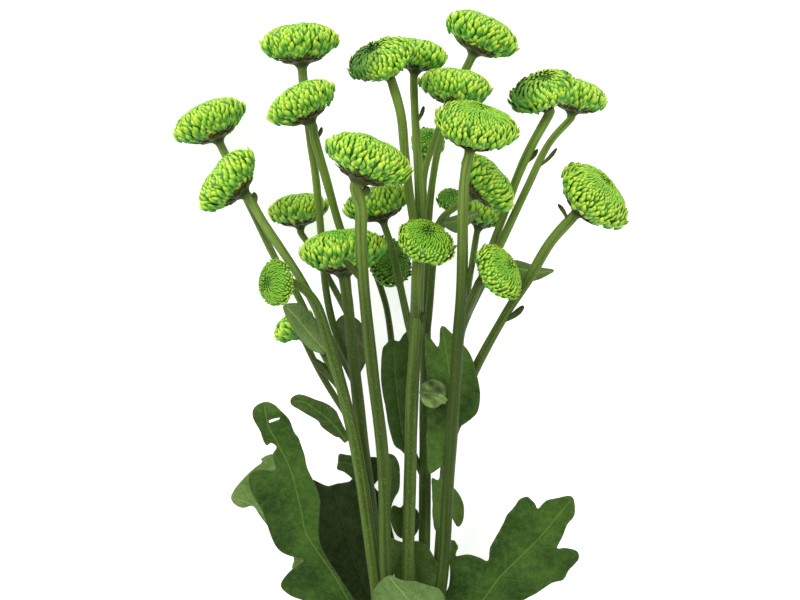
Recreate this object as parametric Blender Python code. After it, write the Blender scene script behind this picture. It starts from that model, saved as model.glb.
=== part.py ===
"""A gathered bunch of cut button chrysanthemum sprays, lying flat: heads, stems, leaves and the band round them."""
import math

import bmesh
import bpy
from mathutils import Vector
from mathutils.geometry import delaunay_2d_cdt

# Scale and view that the plan is drawn in: plan units are one picture step, heights are millimetres
PLAN_STEP = 0.00041
VIEW_HEIGHT = 1.5
MIDDLE_HEIGHT = 0.05
VIEW_CENTRE = (400.0, 300.0)
ORIGIN = (397.925, 459.603)
MM = 0.001

# Fits and thicknesses
FIT_GAP = 0.0003
BLADE_THICKNESS = 0.0009
PETIOLE_HALF_WIDTH = 0.0010
LEAF_GAP = 0.00095

# Flower head, as shares of its radius
HEAD_SEGMENTS = 20
FLORET_RELIEF = 0.055
HEAD_PROFILE = (
    (0.50, -0.35),
    (0.77, -0.22),
    (0.95, -0.05),
    (1.00, 0.11),
    (0.92, 0.27),
    (0.75, 0.39),
    (0.52, 0.47),
    (0.26, 0.52),
)
HEAD_SEAT = (0.27, -0.42)
HEAD_CROWN = 0.53

# Calyx cup under each head
CUP_HEIGHT = 0.0035
CUP_RADIUS_SHARE = 0.25
CUP_SIDES = 8

# Stems
TRUNK_SIDES = 8
STALK_SIDES = 6
RIB = 0.04
ROUTE_STEPS = 1

# Elastic band
BAND_PLAN = (410.0, 760.0)
BAND_CENTRE_HEIGHT = 0.0096
BAND_OUTER = 0.0099
BAND_INNER = 0.0086
BAND_WIDTH = 0.008
BAND_SIDES = 32

# Heads: plan x, plan y, height mm, lean to the right in degrees, turn to the viewer in degrees, radius mm
HEADS = {
    "head_01": (300, 44, 30, -5, 0, 17.4),
    "head_02": (301, 104, 52, -27, 0, 16.0),
    "head_03": (210, 122, 17.2, -25, 0, 17.0),
    "head_04": (229, 181, 55, -50, 0, 16.3),
    "head_05": (382, 60, 64, -25, 25, 14.8),
    "head_06": (417, 55, 32, 8, 0, 13.6),
    "head_07": (482, 35, 17.0, 25, 0, 17.0),
    "head_08": (455, 87, 45, 8, 0, 15.6),
    "head_09": (475, 127, 86, 12, 20, 18.0),
    "head_10": (541, 92, 60, -23, 25, 14.5),
    "head_11": (576, 96, 14.6, 14, 0, 14.4),
    "head_12": (593, 197, 60, 45, 20, 18.0),
    "head_13": (298, 210, 14.6, -8, 0, 14.0),
    "head_14": (367, 160, 80, 22, 0, 19.2),
    "head_15": (378, 203, 40, -16, 0, 15.0),
    "head_16": (342, 252, 50, -5, 0, 19.0),
    "head_17": (388, 262, 17, 60, 45, 12.0),
    "head_18": (426, 243, 71, 25, 38, 12.8),
    "head_19": (498, 272, 68, 60, 28, 13.0),
    "head_20": (487, 183, 54, 50, 0, 15.4),
    "head_21": (482, 214, 20, 15, 0, 11.0),
    "head_22": (428, 142, 11, 20, 50, 8.0),
    "head_23": (451, 200, 32, 10, 45, 6.7),
    "head_24": (277, 283, 72, -90, 40, 10.3),
    "head_25": (293, 325, 22, -36, 0, 10.0),
}

# Main stems, each ending in a head: plan x, plan y, height mm, radius mm, from the cut end up
TRUNKS = {
    "stem_1": ("head_24", (
        (389, 895, 8.8, 2.6), (396.7, 796, 9.6, 2.5), (396.7, 724, 9.6, 2.5), (384, 650, 19, 2.5),
        (374, 570, 29, 2.5), (360, 470, 37, 2.5), (345, 400, 43, 2.4), (328, 340, 51, 2.3),
        (317, 307, 58, 2.1), (307, 292, 63, 1.8))),
    "stem_2": ("head_16", (
        (404, 900, 5.2, 2.6), (403.3, 796, 4.75, 2.5), (403.3, 724, 4.75, 2.5), (392, 650, 10, 2.5),
        (380, 570, 16, 2.5), (366, 470, 22, 2.5), (358, 400, 28, 2.4), (352, 345, 35, 2.3),
        (348, 305, 44, 2.2))),
    "stem_3": ("head_14", (
        (399, 905, 15.8, 2.6), (403.3, 796, 14.45, 2.5), (403.3, 724, 14.45, 2.5), (394, 650, 25, 2.4),
        (386, 570, 36, 2.4), (383, 460, 49, 2.4), (373, 375, 62, 2.4), (364, 290, 72, 2.3),
        (361, 240, 74, 2.4), (361, 208, 77, 2.4))),
    "stem_4": ("head_06", (
        (411, 898, 10, 2.6), (410, 796, 9.6, 2.5), (410, 724, 9.6, 2.5), (409, 650, 20, 2.5),
        (408, 570, 30, 2.5), (410, 480, 37, 2.5), (412, 400, 42, 2.6), (416, 330, 46, 2.6),
        (418, 275, 50, 2.6), (420, 225, 49, 1.9), (418, 165, 47, 1.8), (415, 115, 41, 1.6))),
    "stem_5": ("head_08", (
        (418, 893, 5.4, 2.6), (416.7, 796, 4.75, 2.5), (416.7, 724, 4.75, 2.5), (420, 650, 11, 2.4),
        (424, 560, 19, 2.4), (425, 470, 24, 2.4), (425, 400, 26, 2.2), (426, 330, 25, 2.0),
        (428, 260, 24, 1.7), (429, 213, 27, 1.5), (435, 165, 36, 1.4), (443, 130, 43, 1.4))),
    "stem_6": ("head_09", (
        (423, 902, 16.0, 2.6), (416.7, 796, 14.45, 2.5), (416.7, 724, 14.45, 2.5), (431, 650, 25, 2.4),
        (443, 570, 36, 2.4), (447, 500, 45, 2.4), (452, 430, 54, 2.4), (458, 340, 65, 2.3),
        (462, 280, 71, 2.2), (463, 205, 78, 2.1), (465, 175, 81, 2.0))),
    "stem_7": ("head_11", (
        (433, 888, 8.8, 2.6), (423.3, 796, 9.6, 2.5), (423.3, 724, 9.6, 2.5), (434, 650, 13.5, 2.5),
        (439, 570, 18, 2.5), (446, 470, 25, 2.4), (451, 400, 31, 2.4), (457, 345, 37, 2.4),
        (464, 318, 41, 2.4), (480, 285, 46, 2.3), (500, 245, 41, 1.7), (526, 190, 30, 1.6),
        (548, 145, 22, 1.5))),
}

# Side stalks: stem, head, plan y of the fork, then points up to the head
STALKS = (
    ("stem_1", "head_04", 318, ((300, 278, 54, 1.7), (265, 225, 55, 1.8))),
    ("stem_1", "head_03", 385, ((322, 350, 41, 1.5), (300, 300, 38, 1.4), (275, 258, 36, 1.4),
                                (252, 210, 30, 1.6), (234, 172, 22, 1.7))),
    ("stem_2", "head_01", 372, ((336, 333, 29, 1.5), (326, 290, 25.5, 1.5), (321, 232, 25.5, 1.5),
                                (316, 180, 31, 1.6), (311, 145, 32, 1.6), (304, 88, 31, 1.9))),
    ("stem_2", "head_02", 325, ((347, 280, 26, 1.6), (343, 240, 27, 1.6), (337, 218, 30, 1.6),
                                (325, 175, 40, 1.8), (315, 140, 47, 1.9))),
    ("stem_2", "head_13", 318, ((335, 290, 22, 1.3), (315, 254, 17, 1.3))),
    ("stem_2", "head_25", 440, ((340, 405, 25, 1.3), (320, 372, 24, 1.3))),
    ("stem_4", "head_05", 255, ((411, 205, 55, 1.7), (405, 155, 55, 1.8), (401, 115, 60, 1.9))),
    ("stem_4", "head_18", 318, ((416, 290, 59, 1.8),)),
    ("stem_4", "head_15", 352, ((408, 322, 41, 1.5), (400, 285, 38, 1.5), (393, 252, 37, 1.4))),
    ("stem_5", "head_07", 245, ((424, 180, 24, 1.2), (438, 132, 25, 1.5), (457, 88, 21, 1.8))),
    ("stem_5", "head_22", 225, ((424, 190, 19, 1.1),)),
    ("stem_5", "head_23", 270, ((437, 240, 28, 1.1),)),
    ("stem_5", "head_20", 345, ((430, 300, 32, 1.5), (433, 262, 38, 1.5), (439, 224, 44, 1.5),
                                (455, 207, 49, 1.4))),
    ("stem_5", "head_17", 480, ((405, 430, 23, 1.4), (395, 370, 19, 1.4), (387, 310, 10, 1.3))),
    ("stem_7", "head_12", 450, ((462, 410, 35, 1.9), (474, 372, 41, 1.9), (505, 315, 50, 1.8),
                                (528, 280, 54, 2.0), (550, 243, 57, 2.1))),
    ("stem_7", "head_10", 282, ((489, 255, 41, 1.5), (502, 220, 34, 1.6), (517, 178, 40, 1.8),
                                (532, 145, 50, 1.9))),
    ("stem_7", "head_19", 318, ((473, 297, 55, 1.8),)),
    ("stem_7", "head_21", 375, ((463, 320, 26, 1.3), (471, 270, 21, 1.3))),
)

# Buds and small bracts on the stems: stem, head of the stalk or main stem, plan y of the root, tip, half width mm
BRACTS = (
    ("stem_2", "head_02", 141, (322, 127, 47), 0.9),
    ("stem_1", "head_04", 207, (254, 192, 56), 1.2),
    ("stem_3", "head_14", 197, (369, 187, 79), 1.7),
    ("stem_3", "head_14", 286, (343, 260, 76), 1.4),
    ("stem_4", "head_06", 326, (427, 313, 48), 1.2),
    ("stem_6", "head_09", 282, (474, 262, 73), 1.2),
    ("stem_7", "head_12", 322, (524, 306, 52), 1.4),
    ("stem_7", "head_11", 168, (557, 148, 25), 0.9),
    ("stem_7", "head_10", 165, (538, 149, 50), 1.0),
    ("stem_7", "head_12", 222, (558, 204, 59), 0.9),
    ("stem_4", "head_06", 124, (424, 106, 42), 0.9),
    ("stem_2", "head_16", 425, (347, 405, 27), 1.4),
    ("stem_1", "head_24", 396, (311, 358, 42), 1.9),
)

# Leaves: stem and head of the stalk that carries it, plan y of the joint, side fold, wave mm,
# midrib from tip to base as plan x, plan y, height mm, then the outline round the tip from base to base
LEAVES = {
    "leaf_01": ("stem_1", "head_24", 645, 0.10, 0.5, (
        (264, 403, 45), (268, 425, 44), (278, 444, 42), (289, 466, 41), (295, 485, 40), (301, 511, 38),
        (306, 533, 36), (320, 555, 33), (335, 577, 29), (348, 600, 26), (366, 630, 22)), (
        (358, 632), (345, 620), (326, 609), (305, 601), (291, 596), (281, 587), (285, 577), (294, 568),
        (304, 560), (290, 556), (280, 551), (273, 541), (267, 524), (262, 510), (254, 497), (249, 484),
        (250, 474), (258, 470), (275, 470), (274, 461), (273, 454), (277, 447), (271, 443), (266, 445),
        (260, 431), (253, 418), (254, 408), (264, 402), (273, 404), (280, 410), (289, 420), (294, 432),
        (299, 439), (304, 454), (308, 470), (316, 487), (320, 502), (319, 522), (320, 543), (330, 563),
        (344, 584), (356, 602), (368, 622))),
    "leaf_02": ("stem_2", "head_16", 672, 0.05, 0.6, (
        (231, 498, 15), (252, 505, 14), (280, 530, 11), (310, 565, 7.5), (345, 612, 5.5), (372, 645, 5.6)), (
        (366, 650), (345, 630), (322, 606), (300, 580), (292, 568), (294, 558), (280, 540), (262, 518),
        (253, 506), (242, 508), (231, 499), (236, 487), (248, 474), (255, 468), (262, 462), (261, 459),
        (268, 455), (276, 456), (278, 470), (290, 495), (312, 535), (338, 575), (360, 610), (378, 638))),
    "leaf_03": ("stem_1", "head_24", 440, 0.12, 0.3, (
        (293, 401, 43), (304, 402, 43), (318, 411, 42), (330, 421, 41), (338, 430, 41)), (
        (340, 438), (334, 436), (322, 427), (318, 421), (308, 415), (300, 410), (292, 405), (291, 399),
        (296, 395), (303, 395), (316, 400), (334, 409), (339, 418), (343, 426))),
    "leaf_04": ("stem_2", "head_16", 486, 0.05, 0.1, (
        (338, 462, 17), (350, 464, 17), (360, 469, 16.7), (366, 477, 16.3)), (
        (361, 484), (352, 478), (344, 472), (337, 469), (338, 462), (339, 454), (347, 455), (358, 456),
        (370, 457), (378, 458), (382, 466), (380, 476), (374, 484))),
    "leaf_05": ("stem_2", "head_16", 640, 0.07, 0.6, (
        (334, 487, 13.5), (338, 505, 13), (345, 530, 11.5), (354, 560, 9.5), (366, 590, 7), (383, 622, 4.5)), (
        (377, 626), (368, 614), (355, 600), (341, 582), (329, 562), (319, 545), (316, 512), (313, 492),
        (312, 480), (320, 483), (329, 486), (341, 483), (350, 481), (356, 474), (364, 473), (372, 484),
        (380, 494), (387, 504), (390, 518), (393, 538), (394, 562), (393, 588), (392, 610))),
    "leaf_06": ("stem_6", "head_09", 662, 0.12, 0.6, (
        (571, 500, 40), (560, 513, 38), (540, 537, 35), (519, 558, 32), (499, 578, 30), (483, 600, 28),
        (466, 622, 26), (448, 645, 23)), (
        (441, 640), (440, 620), (443, 604), (449, 585), (450, 568), (449, 556), (450, 542), (455, 541),
        (457, 549), (456, 556), (463, 555), (471, 555), (480, 558), (488, 561), (490, 548), (497, 535),
        (503, 524), (507, 515), (515, 506), (519, 500), (526, 497), (531, 500), (535, 504), (538, 509),
        (546, 501), (559, 498), (570, 496), (574, 502), (574, 516), (567, 525), (562, 538), (557, 548),
        (567, 548), (577, 551), (579, 558), (574, 565), (568, 571), (563, 580), (552, 583), (537, 593),
        (524, 600), (508, 612), (490, 626), (470, 640), (454, 650))),
    "leaf_07": ("stem_6", "head_09", 688, 0.10, 0.5, (
        (390, 577, 46), (395, 584, 45), (408, 600, 42), (416, 625, 37), (420, 650, 31), (422, 668, 27)), (
        (417, 668), (408, 652), (392, 634), (378, 615), (373, 601), (374, 590), (383, 579), (391, 576),
        (401, 580), (416, 582), (433, 587), (441, 591), (446, 602), (445, 620), (437, 645), (428, 668))),
    "leaf_08": ("stem_6", "head_09", 452, 0.06, 0.5, (
        (442, 327, 50.5), (446, 350, 50), (450, 380, 49.3), (451, 408, 48.4), (450, 432, 47.4)), (
        (445, 452), (444, 462), (438, 469), (429, 473), (427, 455), (427, 425), (428, 390), (425, 355), (426, 333),
        (432, 340), (438, 347), (440, 338), (442, 326), (452, 334), (462, 344), (470, 354), (476, 372),
        (480, 393), (478, 411), (470, 420), (458, 430))),
    "leaf_09": ("stem_6", "head_09", 402, 0.10, 0.6, (
        (423, 393, 54), (432, 393, 55), (442, 396, 56)), (
        (442, 404), (434, 408), (424, 405), (420, 396), (421, 385), (430, 380), (440, 381), (446, 386),
        (446, 396))),
    "leaf_10": ("stem_7", "head_11", 470, 0.10, 0.3, (
        (447, 527, 30), (446, 515, 31), (444, 500, 31), (442, 485, 31)), (
        (447, 482), (455, 489), (461, 498), (464, 509), (463, 521), (458, 527), (453, 520), (449, 512),
        (444, 520), (438, 531), (434, 527), (433, 510), (432, 492), (432, 478), (438, 480))),
    "leaf_11": ("stem_5", "head_08", 668, 0.08, 0.3, (
        (411, 541, 25.3), (414, 560, 24.4), (417, 590, 22), (419, 620, 19), (421, 642, 16.5)), (
        (416, 642), (408, 615), (398, 590), (392, 565), (388, 548), (390, 538), (402, 542), (416, 541),
        (425, 544), (430, 550), (437, 565), (438, 580), (433, 605), (426, 640))),
    "leaf_12": ("stem_4", "head_06", 500, 0.08, 0.2, (
        (405, 538, 28), (406, 526, 28.5), (407, 514, 29.5)), (
        (413, 506), (419, 514), (419, 528), (412, 538), (400, 538), (393, 529), (390, 516), (393, 506),
        (401, 508))),
    "leaf_13": ("stem_7", "head_11", 258, 0.08, 0.2, (
        (553, 271, 47), (540, 272, 46.5), (526, 270, 46), (511, 266, 45), (503, 262, 44.3)), (
        (510, 261), (517, 260), (530, 264), (544, 268), (554, 271), (546, 276), (537, 280), (522, 282),
        (512, 272))),
    "leaf_14": ("stem_5", "head_20", 220, 0.05, 0.1, (
        (480, 213, 62), (470, 216, 60), (458, 220, 57), (447, 223, 52)), (
        (449, 230), (458, 233), (467, 226), (474, 220), (480, 212), (470, 212), (460, 214), (450, 217),
        (445, 219))),
    "leaf_15": ("stem_1", "head_24", 352, 0.06, 0.3, (
        (286, 307, 46.5), (297, 318, 47), (309, 333, 47), (320, 345, 46.6)), (
        (323, 354), (311, 350), (299, 338), (290, 324), (284, 312), (284, 305), (291, 303), (300, 304),
        (311, 313), (319, 325), (325, 336), (328, 344))),
    "leaf_16": ("stem_2", "head_16", 390, 0.06, 0.3, (
        (345, 318, 21), (346, 333, 21.5), (349, 350, 22), (352, 365, 23)), (
        (345, 370), (337, 358), (333, 342), (334, 326), (341, 316), (352, 316), (362, 324), (367, 340),
        (367, 358), (361, 371))),
    "leaf_17": ("stem_4", "head_06", 456, 0.03, 0.1, (
        (394, 343, 31), (395, 370, 31.5), (398, 400, 32), (402, 430, 33), (406, 444, 34)), (
        (401, 450), (394, 444), (389, 428), (385, 405), (381, 380), (382, 352), (386, 344), (391, 340),
        (399, 341), (403, 335), (408, 331), (411, 337), (411, 352), (408, 366), (410, 385), (411, 410),
        (411, 440))),
    "leaf_18": ("stem_3", "head_14", 520, 0.03, 0.1, (
        (390, 457, 35.5), (391, 475, 36), (390, 492, 37), (388, 506, 38)), (
        (384, 508), (382, 490), (381, 472), (383, 458), (388, 454), (394, 456), (399, 464), (400, 478),
        (399, 490), (395, 497), (391, 507))),
}
SLIT = ((268, 421), (274, 418.5), (280, 417.5), (279, 420), (274, 421.5), (269, 423))
SLIT_LEAF = "leaf_01"

# Colour, roughness and metallic value of each kind of piece
FLORET = ((0.22, 0.50, 0.03, 1.0), 0.60, 0.0)
STEM = ((0.14, 0.24, 0.06, 1.0), 0.55, 0.0)
LEAF = ((0.035, 0.105, 0.022, 1.0), 0.50, 0.0)
PALE_LEAF = ((0.10, 0.21, 0.07, 1.0), 0.60, 0.0)
BAND = ((0.45, 0.36, 0.22, 1.0), 0.60, 0.0)
PALE_LEAVES = ("leaf_02", "leaf_07", "leaf_09", "leaf_13", "leaf_14", "leaf_15", "leaf_16")


def place(x, y, height):
    """The point in metres that the viewer sees at a plan position, at a height in millimetres."""
    z = height * MM
    spread = PLAN_STEP * (VIEW_HEIGHT - z) / (VIEW_HEIGHT - MIDDLE_HEIGHT)
    return Vector((
        (x - VIEW_CENTRE[0]) * spread + (VIEW_CENTRE[0] - ORIGIN[0]) * PLAN_STEP,
        (VIEW_CENTRE[1] - y) * spread + (ORIGIN[1] - VIEW_CENTRE[1]) * PLAN_STEP,
        z))


def make_object(name, bm, look):
    """A new object from a finished bmesh, with its own plain material."""
    bmesh.ops.recalc_face_normals(bm, faces=bm.faces[:])
    mesh = bpy.data.meshes.new(name)
    bm.to_mesh(mesh)
    bm.free()
    obj = bpy.data.objects.new(name, mesh)
    bpy.context.scene.collection.objects.link(obj)
    if look:
        colour, roughness, metallic = look
        material = bpy.data.materials.new(name)
        material.use_nodes = True
        shader = material.node_tree.nodes["Principled BSDF"]
        shader.inputs["Base Color"].default_value = colour
        shader.inputs["Roughness"].default_value = roughness
        shader.inputs["Metallic"].default_value = metallic
        mesh.materials.append(material)
    return obj


def head_axis(head):
    """Centre, direction of the crown and radius of a head."""
    x, y, height, lean, turn, radius = HEADS[head]
    lean = math.radians(lean)
    turn = math.radians(turn)
    axis = Vector((math.sin(lean) * math.cos(turn), math.cos(lean) * math.cos(turn), math.sin(turn)))
    return place(x, y, height), axis, radius * MM


def side_frame(axis):
    """Two directions square to an axis and to each other."""
    first = axis.cross(Vector((0.0, 0.0, 1.0)))
    if first.length < 0.05:
        first = axis.cross(Vector((1.0, 0.0, 0.0)))
    first.normalize()
    return first, axis.cross(first).normalized()


def make_head(name):
    """A cushion of florets: rows of raised tips with hollows between them, on a flat seat."""
    centre, axis, radius = head_axis(name)
    across, up = side_frame(axis)
    bm = bmesh.new()

    def vertex(reach, rise, angle):
        offset = across * (math.cos(angle) * reach) + up * (math.sin(angle) * reach)
        point = centre + (offset + axis * rise) * radius
        point.z = max(point.z, 0.0)
        return bm.verts.new(point)

    rings = []
    turn = 2.0 * math.pi / HEAD_SEGMENTS
    rings.append([vertex(HEAD_SEAT[0], HEAD_SEAT[1], turn * k) for k in range(HEAD_SEGMENTS)])
    for row, (reach, rise) in enumerate(HEAD_PROFILE):
        ring = []
        for k in range(HEAD_SEGMENTS):
            lift = FLORET_RELIEF if (row + k) % 2 else -FLORET_RELIEF
            lift *= 0.45 + 0.55 * reach
            scale = 1.0 + lift / math.hypot(reach, rise)
            ring.append(vertex(reach * scale, rise * scale, turn * k))
        rings.append(ring)
    crown = vertex(0.0, HEAD_CROWN, 0.0)
    for row in range(len(rings) - 1):
        low = rings[row]
        high = rings[row + 1]
        for k in range(HEAD_SEGMENTS):
            n = (k + 1) % HEAD_SEGMENTS
            if (row + k) % 2:
                bm.faces.new((low[k], low[n], high[n]))
                bm.faces.new((low[k], high[n], high[k]))
            else:
                bm.faces.new((low[k], low[n], high[k]))
                bm.faces.new((low[n], high[n], high[k]))
    for k in range(HEAD_SEGMENTS):
        bm.faces.new((rings[-1][k], rings[-1][(k + 1) % HEAD_SEGMENTS], crown))
    bm.faces.new(list(reversed(rings[0])))
    return make_object(name, bm, FLORET)


def smooth_route(points, steps):
    """A smooth curve through rows of plan x, plan y, height and radius, as points and radii in metres."""
    knots = [place(*row[:3]) for row in points]
    radii = [row[3] * MM for row in points]
    route = []
    for i in range(len(knots) - 1):
        before = knots[max(i - 1, 0)]
        after = knots[min(i + 2, len(knots) - 1)]
        for s in range(steps):
            t = s / steps
            a = (after - knots[i]) * 0.5
            b = (knots[i + 1] - before) * 0.5
            h1 = 2 * t ** 3 - 3 * t ** 2 + 1
            h2 = t ** 3 - 2 * t ** 2 + t
            h3 = 3 * t ** 2 - 2 * t ** 3
            h4 = t ** 3 - t ** 2
            point = knots[i] * h1 + b * h2 + knots[i + 1] * h3 + a * h4
            route.append((point, radii[i] + (radii[i + 1] - radii[i]) * t))
    route.append((knots[-1], radii[-1]))
    return route


def unplace(point):
    """Plan x, plan y and height in millimetres of a point."""
    spread = PLAN_STEP * (VIEW_HEIGHT - point.z) / (VIEW_HEIGHT - MIDDLE_HEIGHT)
    x = (point.x - (VIEW_CENTRE[0] - ORIGIN[0]) * PLAN_STEP) / spread + VIEW_CENTRE[0]
    y = VIEW_CENTRE[1] - (point.y - (ORIGIN[1] - VIEW_CENTRE[1]) * PLAN_STEP) / spread
    return x, y, point.z / MM


def with_seat(head, points):
    """Rows of a route with the two rows added that bring it square up to the calyx of its head."""
    centre, axis, radius = head_axis(head)
    foot = -HEAD_SEAT[1] * radius + FIT_GAP + CUP_HEIGHT
    end = points[-1][3]
    rows = list(points)
    for back in (0.0003, -0.0012):
        rows.append((*unplace(centre - axis * (foot + back)), end))
    return rows


def point_on(route, plan_y):
    """The point and radius where a route passes a plan y."""
    rows = [(unplace(point)[1], point, radius) for point, radius in route]
    for (y0, p0, r0), (y1, p1, r1) in zip(rows, rows[1:]):
        if (y0 - plan_y) * (y1 - plan_y) <= 0.0 and y0 != y1:
            t = (y0 - plan_y) / (y0 - y1)
            return p0.lerp(p1, t), r0 + (r1 - r0) * t, (p1 - p0).normalized()
    raise ValueError("the route does not pass that plan y")


def tube(name, route, sides, rib, flat=1.0):
    """A closed ribbed tube along a route of points and radii."""
    bm = bmesh.new()
    heading = (route[1][0] - route[0][0]).normalized()
    across, up = side_frame(heading)
    rings = []
    for i, (point, radius) in enumerate(route):
        ahead = route[min(i + 1, len(route) - 1)][0] - route[max(i - 1, 0)][0]
        ahead.normalize()
        across = (across - ahead * across.dot(ahead)).normalized()
        up = ahead.cross(across).normalized()
        ring = []
        for k in range(sides):
            angle = 2.0 * math.pi * k / sides
            reach = radius * (1.0 + (rib if k % 2 else -rib))
            offset = across * (math.cos(angle) * reach) + up * (math.sin(angle) * reach * flat)
            ring.append(bm.verts.new(point + offset))
        rings.append(ring)
    for low, high in zip(rings, rings[1:]):
        for k in range(sides):
            n = (k + 1) % sides
            bm.faces.new((low[k], low[n], high[n], high[k]))
    bm.faces.new(list(reversed(rings[0])))
    bm.faces.new(rings[-1])
    bmesh.ops.triangulate(bm, faces=bm.faces[:])
    return make_object(name, bm, None)


def cup(name, head, neck):
    """The calyx cup that a head sits on, from the stalk out to the seat."""
    centre, axis, radius = head_axis(head)
    across, up = side_frame(axis)
    top = -HEAD_SEAT[1] * radius + FIT_GAP
    wide = CUP_RADIUS_SHARE * radius
    rows = (
        (top + CUP_HEIGHT, neck * 1.02),
        (top + CUP_HEIGHT * 0.45, wide * 0.80),
        (top, wide),
    )
    bm = bmesh.new()
    rings = []
    for back, reach in rows:
        ring = []
        for k in range(CUP_SIDES):
            angle = 2.0 * math.pi * (k + 0.5) / CUP_SIDES
            offset = across * (math.cos(angle) * reach) + up * (math.sin(angle) * reach)
            ring.append(bm.verts.new(centre - axis * back + offset))
        rings.append(ring)
    for low, high in zip(rings, rings[1:]):
        for k in range(CUP_SIDES):
            n = (k + 1) % CUP_SIDES
            bm.faces.new((low[k], low[n], high[n], high[k]))
    bm.faces.new(list(reversed(rings[0])))
    bm.faces.new(rings[-1])
    return make_object(name, bm, None)


def join_pieces(name, pieces, look):
    """One closed body from a main piece and the pieces that grow from it."""
    body = pieces[0]
    rest = bpy.data.collections.new(name + "_parts")
    bpy.context.scene.collection.children.link(rest)
    for piece in pieces[1:]:
        rest.objects.link(piece)
        bpy.context.scene.collection.objects.unlink(piece)
    union = body.modifiers.new("union", "BOOLEAN")
    union.operation = "UNION"
    union.operand_type = "COLLECTION"
    union.collection = rest
    union.solver = "EXACT"
    graph = bpy.context.evaluated_depsgraph_get()
    bm = bmesh.new()
    bm.from_object(body, graph)
    bmesh.ops.remove_doubles(bm, verts=bm.verts[:], dist=0.00002)
    bmesh.ops.dissolve_degenerate(bm, edges=bm.edges[:], dist=0.00001)
    bmesh.ops.triangulate(bm, faces=bm.faces[:])
    for piece in pieces:
        bpy.data.objects.remove(piece, do_unlink=True)
    bpy.data.collections.remove(rest)
    return make_object(name, bm, look)


def make_routes():
    """Every stem and stalk route, keyed by stem and head."""
    routes = {}
    for stem, (head, points) in TRUNKS.items():
        routes[stem, head] = smooth_route(with_seat(head, points), ROUTE_STEPS)
    for stem, head, fork, points in STALKS:
        trunk = routes[stem, TRUNKS[stem][0]]
        root = point_on(trunk, fork)[0]
        rows = [(*unplace(root), points[0][3])] + list(points)
        routes[stem, head] = smooth_route(with_seat(head, rows), ROUTE_STEPS)
    return routes


def make_stem(stem, routes):
    """A main stem with its side stalks, calyx cups, buds and bracts as one body."""
    pieces = [tube(stem + "_trunk", routes[stem, TRUNKS[stem][0]], TRUNK_SIDES, RIB)]
    for (owner, head), route in routes.items():
        if owner != stem:
            continue
        if head != TRUNKS[stem][0]:
            pieces.append(tube(stem + "_to_" + head, route, STALK_SIDES, RIB))
        pieces.append(cup(stem + "_cup_" + head, head, route[-1][1]))
    for owner, head, plan_y, tip, width in BRACTS:
        if owner != stem:
            continue
        root = point_on(routes[owner, head], plan_y)[0]
        end = place(*tip)
        bend = root.lerp(end, 0.5)
        rows = [(root, width * 0.7 * MM), (bend, width * MM), (end, width * 0.3 * MM)]
        pieces.append(tube("%s_bract_%d" % (stem, plan_y), rows, 5, 0.0))
    return join_pieces(stem, pieces, STEM)


def inside(point, loop):
    """Whether a plan point lies inside a closed loop."""
    x, y = point
    hit = False
    for (x0, y0), (x1, y1) in zip(loop, loop[1:] + loop[:1]):
        if (y0 > y) != (y1 > y) and x < (x1 - x0) * (y - y0) / (y1 - y0) + x0:
            hit = not hit
    return hit


def blade_height(x, y, midrib, fold, wave):
    """Height in millimetres of a blade over a plan position: midrib height, side fold and a slow wave."""
    best = None
    along = 0.0
    for (x0, y0, z0), (x1, y1, z1) in zip(midrib, midrib[1:]):
        dx = x1 - x0
        dy = y1 - y0
        span = math.hypot(dx, dy)
        t = min(1.0, max(0.0, ((x - x0) * dx + (y - y0) * dy) / span ** 2))
        off = math.hypot(x - x0 - dx * t, y - y0 - dy * t)
        if best is None or off < best[0]:
            best = (off, z0 + (z1 - z0) * t, along + span * t)
        along += span
    off, height, travel = best
    side = off * PLAN_STEP / MM
    ripple = wave * math.sin(travel * 0.16) * min(1.0, side / 5.0)
    return height + fold * side + ripple


def leaf_joint(leaf, routes):
    """Where the stalk of a leaf ends, just clear of the stem that carries it."""
    stem, head, plan_y, fold, wave, midrib, outline = LEAVES[leaf]
    point, radius, heading = point_on(routes[stem, head], plan_y)
    last = place(*midrib[-1])
    side = last - point
    side -= heading * side.dot(heading)
    side.normalize()
    clear = radius * (1.0 + RIB) + LEAF_GAP
    return point + side * clear


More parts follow.
